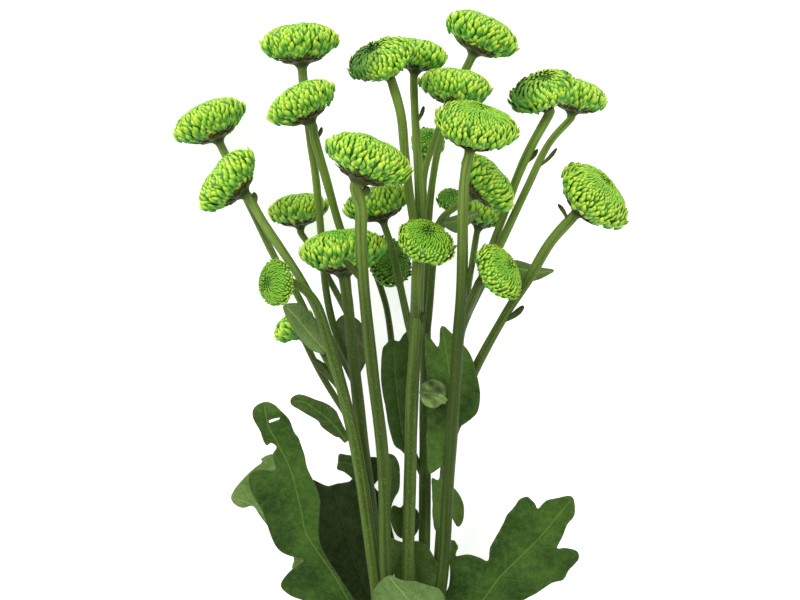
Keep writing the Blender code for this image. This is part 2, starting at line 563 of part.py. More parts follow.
def make_leaf(leaf, routes):
    """A lobed blade with its stalk, of even thickness."""
    stem, head, plan_y, fold, wave, midrib, outline = LEAVES[leaf]
    end = unplace(leaf_joint(leaf, routes))
    midrib = list(midrib) + [end]
    dx = end[0] - midrib[-2][0]
    dy = end[1] - midrib[-2][1]
    span = math.hypot(dx, dy)
    half = PETIOLE_HALF_WIDTH / PLAN_STEP
    right = (end[0] - dy / span * half, end[1] + dx / span * half)
    left = (end[0] + dy / span * half, end[1] - dx / span * half)
    first = Vector(outline[0])
    if (Vector(left) - first).length > (Vector(right) - first).length:
        left, right = right, left
    loop = [left] + [tuple(p) for p in outline] + [right]
    points = [Vector(p) for p in loop]
    inner = [Vector(row[:2]) for row in midrib[1:-1] if inside(row[:2], loop)]
    edges = []
    count = len(points)
    edges += [(k, (k + 1) % count) for k in range(count)]
    hole = list(SLIT) if leaf == SLIT_LEAF else []
    start = count
    points += [Vector(p) for p in hole]
    edges += [(start + k, start + (k + 1) % len(hole)) for k in range(len(hole))]
    points += inner
    flat, _, faces, _, _, _ = delaunay_2d_cdt(points, edges, [], 1, 1e-5)
    kept = []
    for face in faces:
        middle = sum((flat[i] for i in face), Vector((0.0, 0.0))) / len(face)
        if inside(middle, loop) and not (hole and inside(middle, hole)):
            kept.append(face)
    bm = bmesh.new()
    top = []
    low = []
    for point in flat:
        height = blade_height(point.x, point.y, midrib, fold, wave)
        height = max(height, BLADE_THICKNESS / MM)
        spot = place(point.x, point.y, height)
        top.append(bm.verts.new(spot + Vector((0.0, 0.0, BLADE_THICKNESS * 0.5))))
        low.append(bm.verts.new(spot - Vector((0.0, 0.0, BLADE_THICKNESS * 0.5))))
    rim = {}
    for face in kept:
        bm.faces.new([top[i] for i in face])
        bm.faces.new([low[i] for i in reversed(face)])
        for a, b in zip(face, list(face[1:]) + [face[0]]):
            if rim.pop((b, a), None) is None:
                rim[a, b] = True
    for a, b in rim:
        bm.faces.new((top[b], top[a], low[a]))
        bm.faces.new((top[b], low[a], low[b]))
    loose = [v for v in bm.verts if not v.link_faces]
    bmesh.ops.delete(bm, geom=loose, context="VERTS")
    return make_object(leaf, bm, PALE_LEAF if leaf in PALE_LEAVES else LEAF)


def make_band():
    """The elastic band round the stems, with a flat where it rests."""
    centre = place(*BAND_PLAN, BAND_CENTRE_HEIGHT / MM)
    bm = bmesh.new()
    rings = []
    for radius, along in ((BAND_INNER, -0.5), (BAND_OUTER, -0.5), (BAND_OUTER, 0.5), (BAND_INNER, 0.5)):
        ring = []
        for k in range(BAND_SIDES):
            angle = 2.0 * math.pi * k / BAND_SIDES
            z = max(0.0, centre.z + math.sin(angle) * radius)
            spot = (centre.x + math.cos(angle) * radius, centre.y + along * BAND_WIDTH, z)
            ring.append(bm.verts.new(spot))
        rings.append(ring)
    for i in range(4):
        low = rings[i]
        high = rings[(i + 1) % 4]
        for k in range(BAND_SIDES):
            n = (k + 1) % BAND_SIDES
            bm.faces.new((low[k], low[n], high[n], high[k]))
    return make_object("tie_band", bm, BAND)


def main():
    """Build the whole bunch."""
    for obj in list(bpy.data.objects):
        bpy.data.objects.remove(obj, do_unlink=True)
    routes = make_routes()
    for stem in TRUNKS:
        make_stem(stem, routes)
    for head in HEADS:
        make_head(head)
    for leaf in LEAVES:
        make_leaf(leaf, routes)
    make_band()


main()
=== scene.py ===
"""Dresses a bunch of button chrysanthemum sprays: florets, ribbed stems, veined leaves, band and studio."""
import math
import random

import bmesh
import bpy
import numpy as np
from bpy.props import FloatProperty, FloatVectorProperty, IntProperty, PointerProperty
from mathutils import Matrix, Vector
from mathutils.geometry import delaunay_2d_cdt


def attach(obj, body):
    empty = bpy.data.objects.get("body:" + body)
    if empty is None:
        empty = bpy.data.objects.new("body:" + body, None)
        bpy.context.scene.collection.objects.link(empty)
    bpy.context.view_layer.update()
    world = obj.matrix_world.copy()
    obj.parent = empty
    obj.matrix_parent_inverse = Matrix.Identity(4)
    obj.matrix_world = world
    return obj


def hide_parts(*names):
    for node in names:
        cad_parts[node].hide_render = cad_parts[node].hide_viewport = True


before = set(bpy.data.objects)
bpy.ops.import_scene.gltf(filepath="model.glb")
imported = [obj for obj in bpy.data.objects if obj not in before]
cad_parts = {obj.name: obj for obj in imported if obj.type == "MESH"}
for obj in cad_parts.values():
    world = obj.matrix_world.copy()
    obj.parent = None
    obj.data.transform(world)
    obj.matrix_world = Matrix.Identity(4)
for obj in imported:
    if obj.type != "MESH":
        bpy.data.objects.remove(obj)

bl_info = {
    "name": "Chrysanthemum bunch",
    "version": (1, 0, 0),
    "blender": (4, 5, 0),
    "location": "View3D > Sidebar > Bunch",
    "description": "Builds a gathered bunch of button chrysanthemum sprays over its plain solids",
    "category": "Object",
}

MM = 0.001
GOLDEN_ANGLE = math.pi * (3.0 - math.sqrt(5.0))

# The plan that the bunch is laid out on: plan units are one picture step, heights are millimetres
PLAN_STEP = 0.00041
VIEW_HEIGHT = 1.5
MIDDLE_HEIGHT = 0.05
VIEW_CENTRE = (400.0, 300.0)
ORIGIN = (397.925, 459.603)
PICTURE_WIDTH = 800.0

# Head outline from the crown to the underside, as shares of the radius: reach from the axis, rise along it
HEAD_OUTLINE = (
    (0.0, 0.47), (0.12, 0.49), (0.26, 0.51), (0.52, 0.46), (0.75, 0.38), (0.91, 0.25), (1.0, 0.10),
    (0.92, -0.06), (0.74, -0.21), (0.50, -0.34), (0.28, -0.41),
)
CORE_OUTLINE = (
    (0.0, 0.40), (0.25, 0.42), (0.50, 0.38), (0.70, 0.29), (0.83, 0.15), (0.82, 0.0), (0.70, -0.15),
    (0.48, -0.31), (0.28, -0.405), (0.0, -0.41),
)
CORE_TOP = 0.42

# Painted shade on the core, so that gaps between florets read as shadow, how far it sinks under a hollow crown,
# where a head sits, and the gap to its calyx
CORE_SHADE = 0.45
CORE_SINK = 1.6
HEAD_SEAT_RISE = -0.42
FIT_GAP = 0.0003

# Calyx: the cup from the neck up, as height below the head and width with its depth of colour, then its dish
# and the underside that the bracts follow, as shares of the head's radius
CUP_HEIGHT = 0.0035
CUP_RADIUS_SHARE = 0.25
CUP_STATIONS = ((1.0, 1.0), (0.65, 1.15), (0.34, 1.6))
CUP_TONES = (0.3, 0.45, 0.7, 0.75, 0.8, 0.85, 0.85)
CALYX_DISH = ((0.415, 0.34), (0.385, 0.42), (0.355, 0.40))
UNDERSIDE_REACH = (0.20, 0.30, 0.42, 0.52, 0.65)
UNDERSIDE_LOW = (0.430, 0.425, 0.395, 0.355, 0.300)

# Calyx bracts: number, drop and outer end of each row, the inner end, the reach where they meet and how much
# of the round they cover; then share of the length, width and depth of colour along one
BRACT_ROWS = ((13, 0.025, 0.47), (15, 0.0, 0.58))
BRACT_FROM = 0.20
BRACT_REACH = 0.36
BRACT_COVER = 0.62
BRACT_HALF_DEPTH = 0.00025
BRACT_STATIONS = (
    (0.0, 0.60, 0.7), (0.35, 1.0, 0.75), (0.70, 0.95, 0.85), (0.90, 0.60, 1.0), (1.0, 0.15, 1.0),
)

# Where the florets point, in degrees from the axis, by how far down the outline they sit: in on the crown,
# up on the side, out round the underside
HEADING_SHARES = (0.0, 0.05, 0.13, 0.25, 0.36, 0.46, 0.55, 0.64, 0.76, 0.90, 1.0)
HEADING_ANGLES = (0.0, -50.0, -62.0, -46.0, -14.0, 15.0, 38.0, 52.0, 66.0, 78.0, 84.0)
LAST_SHARE = 0.90
RIM_SHARE = 0.55
RIM_FLARE = 0.03
RIM_SPREAD = 0.06

# How florets fill a head: area each takes as a share of the spacing squared, the part of the outline that the
# fine ones may hold, the part in which they grow, the wider spacing underneath, and the width of a hollow crown
FLORET_AREA = 0.89
FINE_PART = 0.45
GROWING_PART = 0.35
UNDER_SPACING = 0.18
HOLLOW_WIDTH = 0.22

# How florets differ: stray of the heading in degrees and of the turn in radians, lobes round the head, swell
# of the upper and lower ones, and range of width and length; the shortest sit next to the axis
TILT_STRAY = 9.0
TURN_STRAY = 0.18
LOBES = ((2.0, 0.018), (3.0, 0.020))
UPPER_SWELL = (-0.055, 0.045)
LOWER_SWELL = (-0.04, 0.0)
WIDTH_RANGE = (0.80, 1.22)
LENGTH_RANGE = (0.75, 1.15)
STUB_LENGTH = 0.0008

# Which floret sits where: fine ones below this growth, broad ones beyond this share of the outline, and in
# between the share of those bent to one side
FINE_GROWTH = 0.25
BROAD_FROM = 0.72
BENT_SHARE = 0.6

FLORET_VALUES = ("tip", "reach", "vary", "shade")
STEM_VALUES = ("rib", "calyx", "pith", "round_x", "round_y", "along", "shade")
BLADE_VALUES = ("off", "phase", "under", "shade", "wilt")

# Florets, fine, bent, curled in and broad: sides, then stations as share of the length, half width, half
# depth, lift, hollow and bend to one side; and how far a full hollow sinks
FLORETS = (
    (5, ((0.0, 0.80, 0.7, 0.0, 0.0, 0.0), (0.55, 1.0, 0.8, 0.0, 0.0, 0.0), (1.0, 0.2, 0.2, 0.2, 0.0, 0.0))),
    (6, ((0.0, 0.45, 0.45, -0.10, 0.0, 0.0), (0.44, 0.95, 0.60, -0.05, 0.2, 0.0),
         (0.68, 0.92, 0.50, 0.05, 0.6, 0.1), (0.86, 0.52, 0.35, 0.25, 0.7, 0.35),
         (1.0, 0.05, 0.08, 0.60, 0.0, 0.70))),
    (6, ((0.0, 0.50, 0.40, -0.15, 0.0, 0.0), (0.48, 1.0, 0.60, -0.1, 0.4, 0.0),
         (0.74, 1.02, 0.50, 0.12, 0.9, 0.0), (0.90, 0.56, 0.35, 0.38, 0.9, 0.12),
         (1.0, 0.06, 0.08, 0.70, 0.0, 0.30))),
    (6, ((0.0, 0.60, 0.50, 0.0, 0.0, 0.0), (0.50, 1.0, 0.55, 0.0, 0.3, 0.0),
         (0.74, 1.1, 0.50, 0.02, 0.6, 0.1), (0.90, 0.64, 0.36, 0.14, 0.6, 0.30),
         (1.0, 0.06, 0.10, 0.35, 0.0, 0.60))),
)
HOLLOW_SINK = 2.2

# For heads that differ: share of fine florets, coarseness, painted shade, extra painted shade on the left side,
# depth of the hollow in the crown, which also lays painted shade in it, and the plan shift of the crown
HEAD_LOOK = (0.30, 1.0, 0.0, 0.0, 0.0, (0, 0, 0))
HEAD_LOOKS = {
    "head_05": (0.05, 1.0, 0.05, 1.0, 0.12, (-2, -5, 0)), "head_09": (0.50, 1.0, 0.08, 0.0, 0.0, (6, -5, 0)),
    "head_10": (0.05, 1.0, 0.05, 1.0, 0.12, (13, -7, 0)), "head_12": (0.45, 1.0, 0.05, 0.0, 0.0, (0, 4, 0)),
    "head_15": (0.25, 1.0, 0.10, 0.2, 0.0, (0, 0, 0)), "head_16": (0.45, 1.05, 0.0, 0.0, 0.0, (0, 0, 12)),
    "head_17": (0.60, 1.0, 0.70, 0.0, 0.0, (0, 0, 0)), "head_18": (0.62, 0.95, 0.16, 0.0, 0.08, (-4, 2, 0)),
    "head_19": (0.62, 0.95, 0.08, 0.0, 0.0, (0, 0, 0)), "head_21": (0.30, 1.0, 0.15, 0.3, 0.0, (0, 0, 0)),
    "head_22": (0.40, 1.0, 0.30, 0.0, 0.0, (0, 0, 0)), "head_23": (0.60, 0.8, 0.40, 0.0, 0.0, (0, 0, 0)),
    "head_24": (0.90, 0.85, 0.18, 0.2, 0.06, (-1, 0, 0)), "head_25": (0.10, 1.2, 0.0, 0.0, 0.0, (0, 0, 0)),
}

# Depth of colour, partly the leaf's own tone and partly painted shade, where below zero is lighter, wilt, and
# crumple in mm of each leaf
LEAF_LOOKS = {
    "leaf_01": (0.05, 0.0, 0.15), "leaf_02": (-0.15, 0.0, 0.2), "leaf_03": (0.20, 0.10, 0.1),
    "leaf_04": (0.30, 0.10, 0.0), "leaf_05": (0.83, 0.10, 0.2), "leaf_06": (0.06, 0.0, 0.15),
    "leaf_07": (0.18, 0.0, 0.2), "leaf_08": (-0.08, 0.0, 0.3), "leaf_09": (0.60, 0.20, 1.6),
    "leaf_10": (-0.35, 0.0, 0.2), "leaf_11": (-0.25, 0.15, 0.0), "leaf_12": (0.50, 0.0, 0.0),
    "leaf_13": (0.15, 0.10, 0.2), "leaf_14": (0.35, 0.10, 0.0), "leaf_15": (0.0, 0.10, 0.2),
    "leaf_16": (0.40, 0.45, 0.5), "leaf_17": (0.45, 0.0, 0.0), "leaf_18": (0.50, 0.0, 0.0),
}

# Painted shade that a dent of 1 mm lays on a leaf, and painted light on a crest; half width in mm of the
# groove; width of the dry edge in plan units
DENT_PAINTED_SHADE_AND_LIGHT = 0.45
GROOVE_HALF_WIDTH = 0.7
DRY_EDGE = 2.0

# Plan line, as x values and y values, below which a folded leaf keeps its light side
FOLDS = {"leaf_09": ((419, 430, 448), (401, 399, 391))}

# Ribs round a stem, sides of a calyx ring, stretch of the lines along a stem, length and depth of the painted
# shade on the neck under the head of a main stem or a stalk, and the painted shade of each stem, partly its own
# darker tone
STEM_RIBS = 6
CALYX_SIDES = 24
LINE_STRETCH = 9.0
NECK_LENGTH = 0.011
# Painted shade at the neck, for a main stem and for a stalk
NECK_PAINTED_SHADE = {True: 0.20, False: 0.34}
STEM_SHADES = {
    "stem_1": 0.10, "stem_2": 0.42, "stem_3": 0.42, "stem_4": 0.20, "stem_5": 0.42, "stem_6": 0.64,
    "stem_7": 0.28,
}

# Heads: plan x, plan y, height mm, lean to the right in degrees, turn to the viewer in degrees, radius mm
HEADS = {
    "head_01": (300, 44, 30, -5, 0, 17.4),
    "head_02": (301, 104, 52, -27, 0, 16.0),
    "head_03": (210, 122, 17.2, -25, 0, 17.0),
    "head_04": (229, 181, 55, -50, 0, 16.3),
    "head_05": (382, 60, 64, -25, 25, 14.8),
    "head_06": (417, 55, 32, 8, 0, 13.6),
    "head_07": (482, 35, 17.0, 25, 0, 17.0),
    "head_08": (455, 87, 45, 8, 0, 15.6),
    "head_09": (475, 127, 86, 12, 20, 18.0),
    "head_10": (541, 92, 60, -23, 25, 14.5),
    "head_11": (576, 96, 14.6, 14, 0, 14.4),
    "head_12": (593, 197, 60, 45, 20, 18.0),
    "head_13": (298, 210, 14.6, -8, 0, 14.0),
    "head_14": (367, 160, 80, 22, 0, 19.2),
    "head_15": (378, 203, 40, -16, 0, 15.0),
    "head_16": (342, 252, 50, -5, 0, 19.0),
    "head_17": (388, 262, 17, 60, 45, 12.0),
    "head_18": (426, 243, 71, 25, 38, 12.8),
    "head_19": (498, 272, 68, 60, 28, 13.0),
    "head_20": (487, 183, 54, 50, 0, 15.4),
    "head_21": (482, 214, 20, 15, 0, 11.0),
    "head_22": (428, 142, 11, 20, 50, 8.0),
    "head_23": (451, 200, 32, 10, 45, 6.7),
    "head_24": (277, 283, 72, -90, 40, 10.3),
    "head_25": (293, 325, 22, -36, 0, 10.0),
}

# Main stems, each ending in a head: plan x, plan y, height mm, radius mm, from the cut end up
TRUNKS = {
    "stem_1": ("head_24", (
        (389, 895, 8.8, 2.6), (396.7, 796, 9.6, 2.5), (396.7, 724, 9.6, 2.5), (384, 650, 19, 2.5),
        (374, 570, 29, 2.5), (360, 470, 37, 2.5), (345, 400, 43, 2.4), (328, 340, 51, 2.3),
        (317, 307, 58, 2.1), (307, 292, 63, 1.8))),
    "stem_2": ("head_16", (
        (404, 900, 5.2, 2.6), (403.3, 796, 4.75, 2.5), (403.3, 724, 4.75, 2.5), (392, 650, 10, 2.5),
        (380, 570, 16, 2.5), (366, 470, 22, 2.5), (358, 400, 28, 2.4), (352, 345, 35, 2.3),
        (348, 305, 44, 2.2))),
    "stem_3": ("head_14", (
        (399, 905, 15.8, 2.6), (403.3, 796, 14.45, 2.5), (403.3, 724, 14.45, 2.5), (394, 650, 25, 2.4),
        (386, 570, 36, 2.4), (383, 460, 49, 2.4), (373, 375, 62, 2.4), (364, 290, 72, 2.3),
        (361, 240, 74, 2.4), (361, 208, 77, 2.4))),
    "stem_4": ("head_06", (
        (411, 898, 10, 2.6), (410, 796, 9.6, 2.5), (410, 724, 9.6, 2.5), (409, 650, 20, 2.5),
        (408, 570, 30, 2.5), (410, 480, 37, 2.5), (412, 400, 42, 2.6), (416, 330, 46, 2.6),
        (418, 275, 50, 2.6), (420, 225, 49, 1.9), (418, 165, 47, 1.8), (415, 115, 41, 1.6))),
    "stem_5": ("head_08", (
        (418, 893, 5.4, 2.6), (416.7, 796, 4.75, 2.5), (416.7, 724, 4.75, 2.5), (420, 650, 11, 2.4),
        (424, 560, 19, 2.4), (425, 470, 24, 2.4), (425, 400, 26, 2.2), (426, 330, 25, 2.0),
        (428, 260, 24, 1.7), (429, 213, 27, 1.5), (435, 165, 36, 1.4), (443, 130, 43, 1.4))),
    "stem_6": ("head_09", (
        (423, 902, 16.0, 2.6), (416.7, 796, 14.45, 2.5), (416.7, 724, 14.45, 2.5), (431, 650, 25, 2.4),
        (443, 570, 36, 2.4), (447, 500, 45, 2.4), (452, 430, 54, 2.4), (458, 340, 65, 2.3),
        (462, 280, 71, 2.2), (463, 205, 78, 2.1), (465, 175, 81, 2.0))),
    "stem_7": ("head_11", (
        (433, 888, 8.8, 2.6), (423.3, 796, 9.6, 2.5), (423.3, 724, 9.6, 2.5), (434, 650, 13.5, 2.5),
        (439, 570, 18, 2.5), (446, 470, 25, 2.4), (451, 400, 31, 2.4), (457, 345, 37, 2.4),
        (464, 318, 41, 2.4), (480, 285, 46, 2.3), (500, 245, 41, 1.7), (526, 190, 30, 1.6),
        (548, 145, 22, 1.5))),
}

# Side stalks: stem, head, plan y of the fork, then points up to the head
STALKS = (
    ("stem_1", "head_04", 318, ((300, 278, 54, 1.7), (265, 225, 55, 1.8))),
    ("stem_1", "head_03", 385, ((322, 350, 41, 1.5), (300, 300, 38, 1.4), (275, 258, 36, 1.4),
                                (252, 210, 30, 1.6), (234, 172, 22, 1.7))),
    ("stem_2", "head_01", 372, ((336, 333, 29, 1.5), (326, 290, 25.5, 1.5), (321, 232, 25.5, 1.5),
                                (316, 180, 31, 1.6), (311, 145, 32, 1.6), (304, 88, 31, 1.9))),
    ("stem_2", "head_02", 325, ((347, 280, 26, 1.6), (343, 240, 27, 1.6), (337, 218, 30, 1.6),
                                (325, 175, 40, 1.8), (315, 140, 47, 1.9))),
    ("stem_2", "head_13", 318, ((335, 290, 22, 1.3), (315, 254, 17, 1.3))),
    ("stem_2", "head_25", 440, ((340, 405, 25, 1.3), (320, 372, 24, 1.3))),
    ("stem_4", "head_05", 255, ((411, 205, 55, 1.7), (405, 155, 55, 1.8), (401, 115, 60, 1.9))),
    ("stem_4", "head_18", 318, ((416, 290, 59, 1.8),)),
    ("stem_4", "head_15", 352, ((408, 322, 41, 1.5), (400, 285, 38, 1.5), (393, 252, 37, 1.4))),
    ("stem_5", "head_07", 245, ((424, 180, 24, 1.2), (438, 132, 25, 1.5), (457, 88, 21, 1.8))),
    ("stem_5", "head_22", 225, ((424, 190, 19, 1.1),)),
    ("stem_5", "head_23", 270, ((437, 240, 28, 1.1),)),
    ("stem_5", "head_20", 345, ((430, 300, 32, 1.5), (433, 262, 38, 1.5), (439, 224, 44, 1.5),
                                (455, 207, 49, 1.4))),
    ("stem_5", "head_17", 480, ((405, 430, 23, 1.4), (395, 370, 19, 1.4), (387, 310, 10, 1.3))),
    ("stem_7", "head_12", 450, ((462, 410, 35, 1.9), (474, 372, 41, 1.9), (505, 315, 50, 1.8),
                                (528, 280, 54, 2.0), (550, 243, 57, 2.1))),
    ("stem_7", "head_10", 282, ((489, 255, 41, 1.5), (502, 220, 34, 1.6), (517, 178, 40, 1.8),
                                (532, 145, 50, 1.9))),
    ("stem_7", "head_19", 318, ((473, 297, 55, 1.8),)),
    ("stem_7", "head_21", 375, ((463, 320, 26, 1.3), (471, 270, 21, 1.3))),
)

# Buds and small bracts on the stems: stem, head that the stalk ends in, plan y of the root, tip, half width
# in mm; then share of the length, width and depth of colour along one
BRACTS = (
    ("stem_2", "head_02", 141, (322, 127, 47), 0.9),
    ("stem_1", "head_04", 207, (254, 192, 56), 1.2),
    ("stem_3", "head_14", 197, (369, 187, 79), 1.7),
    ("stem_3", "head_14", 286, (343, 260, 76), 1.4),
    ("stem_4", "head_06", 326, (426, 312, 51), 1.6),
    ("stem_6", "head_09", 282, (474, 262, 73), 1.2),
    ("stem_7", "head_12", 322, (524, 306, 52), 1.4),
    ("stem_7", "head_11", 168, (557, 148, 25), 0.9),
    ("stem_7", "head_10", 165, (538, 149, 50), 1.0),
    ("stem_7", "head_12", 222, (558, 204, 59), 0.9),
    ("stem_4", "head_06", 124, (424, 106, 42), 0.9),
    ("stem_2", "head_16", 425, (347, 405, 27), 1.4),
    ("stem_1", "head_24", 396, (311, 358, 42), 1.9),
)
BUD_STATIONS = (
    (0.0, 0.55, 0.30), (0.3, 0.75, 0.38), (0.55, 0.95, 0.48), (0.75, 1.0, 0.56), (0.9, 0.75, 0.62),
    (0.98, 0.4, 0.66), (1.0, 0.1, 0.66),
)
BUD_BOW = 0.06

# Leaves: stem and head of the stalk that carries it, plan y of the joint, side fold, wave mm,
# midrib from tip to base as plan x, plan y, height mm, then the outline round the tip from base to base
LEAVES = {
    "leaf_01": ("stem_1", "head_24", 645, 0.10, 0.5, (
        (264, 403, 45), (268, 425, 44), (278, 444, 42), (289, 466, 41), (295, 485, 40), (301, 511, 38),
        (306, 533, 36), (320, 555, 33), (335, 577, 29), (348, 600, 26), (366, 630, 22)), (
        (358, 632), (345, 620), (326, 609), (305, 601), (291, 596), (281, 587), (285, 577), (294, 568),
        (304, 560), (290, 556), (280, 551), (273, 541), (267, 524), (262, 510), (254, 497), (249, 484),
        (250, 474), (258, 470), (275, 470), (274, 461), (273, 454), (277, 447), (271, 443), (266, 445),
        (260, 431), (253, 418), (254, 408), (264, 402), (273, 404), (280, 410), (289, 420), (294, 432),
        (299, 439), (304, 454), (308, 470), (316, 487), (320, 502), (319, 522), (320, 543), (330, 563),
        (344, 584), (356, 602), (368, 622))),
    "leaf_02": ("stem_2", "head_16", 672, 0.05, 0.6, (
        (231, 498, 15), (252, 505, 14), (280, 530, 11), (310, 565, 7.5), (345, 612, 5.5), (372, 645, 5.6)), (
        (366, 650), (345, 630), (322, 606), (300, 580), (292, 568), (294, 558), (280, 540), (262, 518),
        (253, 506), (242, 508), (231, 499), (236, 487), (248, 474), (255, 468), (262, 462), (261, 459),
        (268, 455), (276, 456), (278, 470), (290, 495), (312, 535), (338, 575), (360, 610), (378, 638))),
    "leaf_03": ("stem_1", "head_24", 440, 0.12, 0.3, (
        (293, 401, 43), (304, 402, 43), (318, 411, 42), (330, 421, 41), (338, 430, 41)), (
        (340, 438), (334, 436), (322, 427), (318, 421), (308, 415), (300, 410), (292, 405), (291, 399),
        (296, 395), (303, 395), (316, 400), (334, 409), (339, 418), (343, 426))),
    "leaf_04": ("stem_2", "head_16", 486, 0.05, 0.1, (
        (338, 462, 17), (350, 464, 17), (360, 469, 16.7), (366, 477, 16.3)), (
        (361, 484), (352, 478), (344, 472), (337, 469), (338, 462), (339, 454), (347, 455), (358, 456),
        (370, 457), (378, 458), (382, 466), (380, 476), (374, 484))),
    "leaf_05": ("stem_2", "head_16", 640, 0.07, 0.6, (
        (334, 487, 13.5), (338, 505, 13), (345, 530, 11.5), (354, 560, 9.5), (366, 590, 7),
        (383, 622, 4.5)), (
        (377, 626), (368, 614), (355, 600), (341, 582), (329, 562), (319, 545), (316, 512), (313, 492),
        (312, 480), (320, 483), (329, 486), (341, 483), (350, 481), (356, 474), (364, 473), (372, 484),
        (380, 494), (387, 504), (390, 518), (393, 538), (394, 562), (393, 588), (392, 610))),
    "leaf_06": ("stem_6", "head_09", 662, 0.12, 0.6, (
        (571, 500, 40), (560, 513, 38), (540, 537, 35), (519, 558, 32), (499, 578, 30), (483, 600, 28),
        (466, 622, 26), (448, 645, 23)), (
        (441, 640), (440, 620), (443, 604), (449, 585), (450, 568), (449, 556), (450, 542), (455, 541),
        (457, 549), (456, 556), (463, 555), (471, 555), (480, 558), (488, 561), (490, 548), (497, 535),
        (503, 524), (507, 515), (515, 506), (519, 500), (526, 497), (531, 500), (535, 504), (538, 509),
        (546, 501), (559, 498), (570, 496), (574, 502), (574, 516), (567, 525), (562, 538), (557, 548),
        (567, 548), (577, 551), (579, 558), (574, 565), (568, 571), (563, 580), (552, 583), (537, 593),
        (524, 600), (508, 612), (490, 626), (470, 640), (454, 650))),
    "leaf_07": ("stem_6", "head_09", 688, 0.10, 0.5, (
        (390, 577, 46), (395, 584, 45), (408, 600, 42), (416, 625, 37), (420, 650, 31), (422, 668, 27)), (
        (417, 668), (408, 652), (392, 634), (378, 615), (373, 601), (374, 590), (383, 579), (391, 576),
        (401, 580), (416, 582), (433, 587), (441, 591), (446, 602), (445, 620), (437, 645), (428, 668))),
    "leaf_08": ("stem_6", "head_09", 452, 0.06, 0.5, (
        (442, 327, 50.5), (446, 350, 50), (450, 380, 49.3), (451, 408, 48.4), (450, 432, 47.4)), (
        (445, 452), (444, 462), (438, 469), (429, 473), (427, 455), (427, 425), (428, 390), (425, 355),
        (426, 333), (432, 340), (438, 347), (440, 338), (442, 326), (452, 334), (462, 344), (470, 354),
        (476, 372), (480, 393), (478, 411), (470, 420), (458, 430))),
    "leaf_09": ("stem_6", "head_09", 402, 0.10, 0.6, (
        (423, 393, 54), (432, 393, 55), (442, 396, 56)), (
        (442, 404), (434, 408), (424, 405), (420, 396), (421, 385), (430, 380), (440, 381), (446, 386),
        (446, 396))),
    "leaf_10": ("stem_7", "head_11", 470, 0.10, 0.3, (
        (447, 527, 30), (446, 515, 31), (444, 500, 31), (442, 485, 31)), (
        (447, 482), (455, 489), (461, 498), (464, 509), (463, 521), (458, 527), (453, 520), (449, 512),
        (444, 520), (438, 531), (434, 527), (433, 510), (432, 492), (432, 478), (438, 480))),
    "leaf_11": ("stem_5", "head_08", 668, 0.08, 0.3, (
        (411, 541, 25.3), (414, 560, 24.4), (417, 590, 22), (419, 620, 19), (421, 642, 16.5)), (
        (416, 642), (408, 615), (398, 590), (392, 565), (388, 548), (390, 538), (402, 542), (416, 541),
        (425, 544), (430, 550), (437, 565), (438, 580), (433, 605), (426, 640))),
    "leaf_12": ("stem_4", "head_06", 500, 0.08, 0.2, (
        (405, 538, 28), (406, 526, 28.5), (407, 514, 29.5)), (
        (413, 506), (419, 514), (419, 528), (412, 538), (400, 538), (393, 529), (390, 516), (393, 506),
        (401, 508))),
    "leaf_13": ("stem_7", "head_11", 258, 0.08, 0.2, (
        (553, 271, 47), (540, 272, 46.5), (526, 270, 46), (511, 266, 45), (503, 262, 44.3)), (
        (510, 261), (517, 260), (530, 264), (544, 268), (554, 271), (546, 276), (537, 280), (522, 282),
        (512, 272))),
    "leaf_14": ("stem_5", "head_20", 220, 0.05, 0.1, (
        (480, 213, 62), (470, 216, 60), (458, 220, 57), (447, 223, 52)), (
        (449, 230), (458, 233), (467, 226), (474, 220), (480, 212), (470, 212), (460, 214), (450, 217),
        (445, 219))),
    "leaf_15": ("stem_1", "head_24", 352, 0.06, 0.3, (
        (286, 307, 46.5), (297, 318, 47), (309, 333, 47), (320, 345, 46.6)), (
        (323, 354), (311, 350), (299, 338), (290, 324), (284, 312), (284, 305), (291, 303), (300, 304),
        (311, 313), (319, 325), (325, 336), (328, 344))),
    "leaf_16": ("stem_2", "head_16", 390, 0.06, 0.3, (
        (345, 318, 21), (346, 333, 21.5), (349, 350, 22), (352, 365, 23)), (
        (345, 370), (337, 358), (333, 342), (334, 326), (341, 316), (352, 316), (362, 324), (367, 340),
        (367, 358), (361, 371))),
    "leaf_17": ("stem_4", "head_06", 456, 0.03, 0.1, (
        (394, 343, 31), (395, 370, 31.5), (398, 400, 32), (402, 430, 33), (406, 444, 34)), (
        (401, 450), (394, 444), (389, 428), (385, 405), (381, 380), (382, 352), (386, 344), (391, 340),
        (399, 341), (403, 335), (408, 331), (411, 337), (411, 352), (408, 366), (410, 385), (411, 410),
        (411, 440))),
    "leaf_18": ("stem_3", "head_14", 520, 0.03, 0.1, (
        (390, 457, 35.5), (391, 475, 36), (390, 492, 37), (388, 506, 38)), (
        (384, 508), (382, 490), (381, 472), (383, 458), (388, 454), (394, 456), (399, 464), (400, 478),
        (399, 490), (395, 497), (391, 507))),
}
SLIT_LEAF = "leaf_01"
SLIT = ((268, 421), (274, 418.5), (280, 417.5), (279, 420), (274, 421.5), (269, 423))
PALE_LEAVES = ("leaf_02", "leaf_07", "leaf_09", "leaf_13", "leaf_14", "leaf_15", "leaf_16")

# Where a leaf meets its stem: half width of its stalk, clearance, and height of the ribs of the plain stem
PETIOLE_HALF_WIDTH = 0.0010
LEAF_GAP = 0.000285
STEM_RIB = 0.04

# Elastic band: plan place, height of its middle, radii, width, turns side by side and steps over one turn
BAND_PLAN = (410.0, 760.0)
BAND_CENTRE_HEIGHT = 0.0096
BAND_OUTER = 0.0099
BAND_INNER = 0.0086
BAND_WIDTH = 0.008
BAND_TURNS = 3
BAND_STEPS = 6

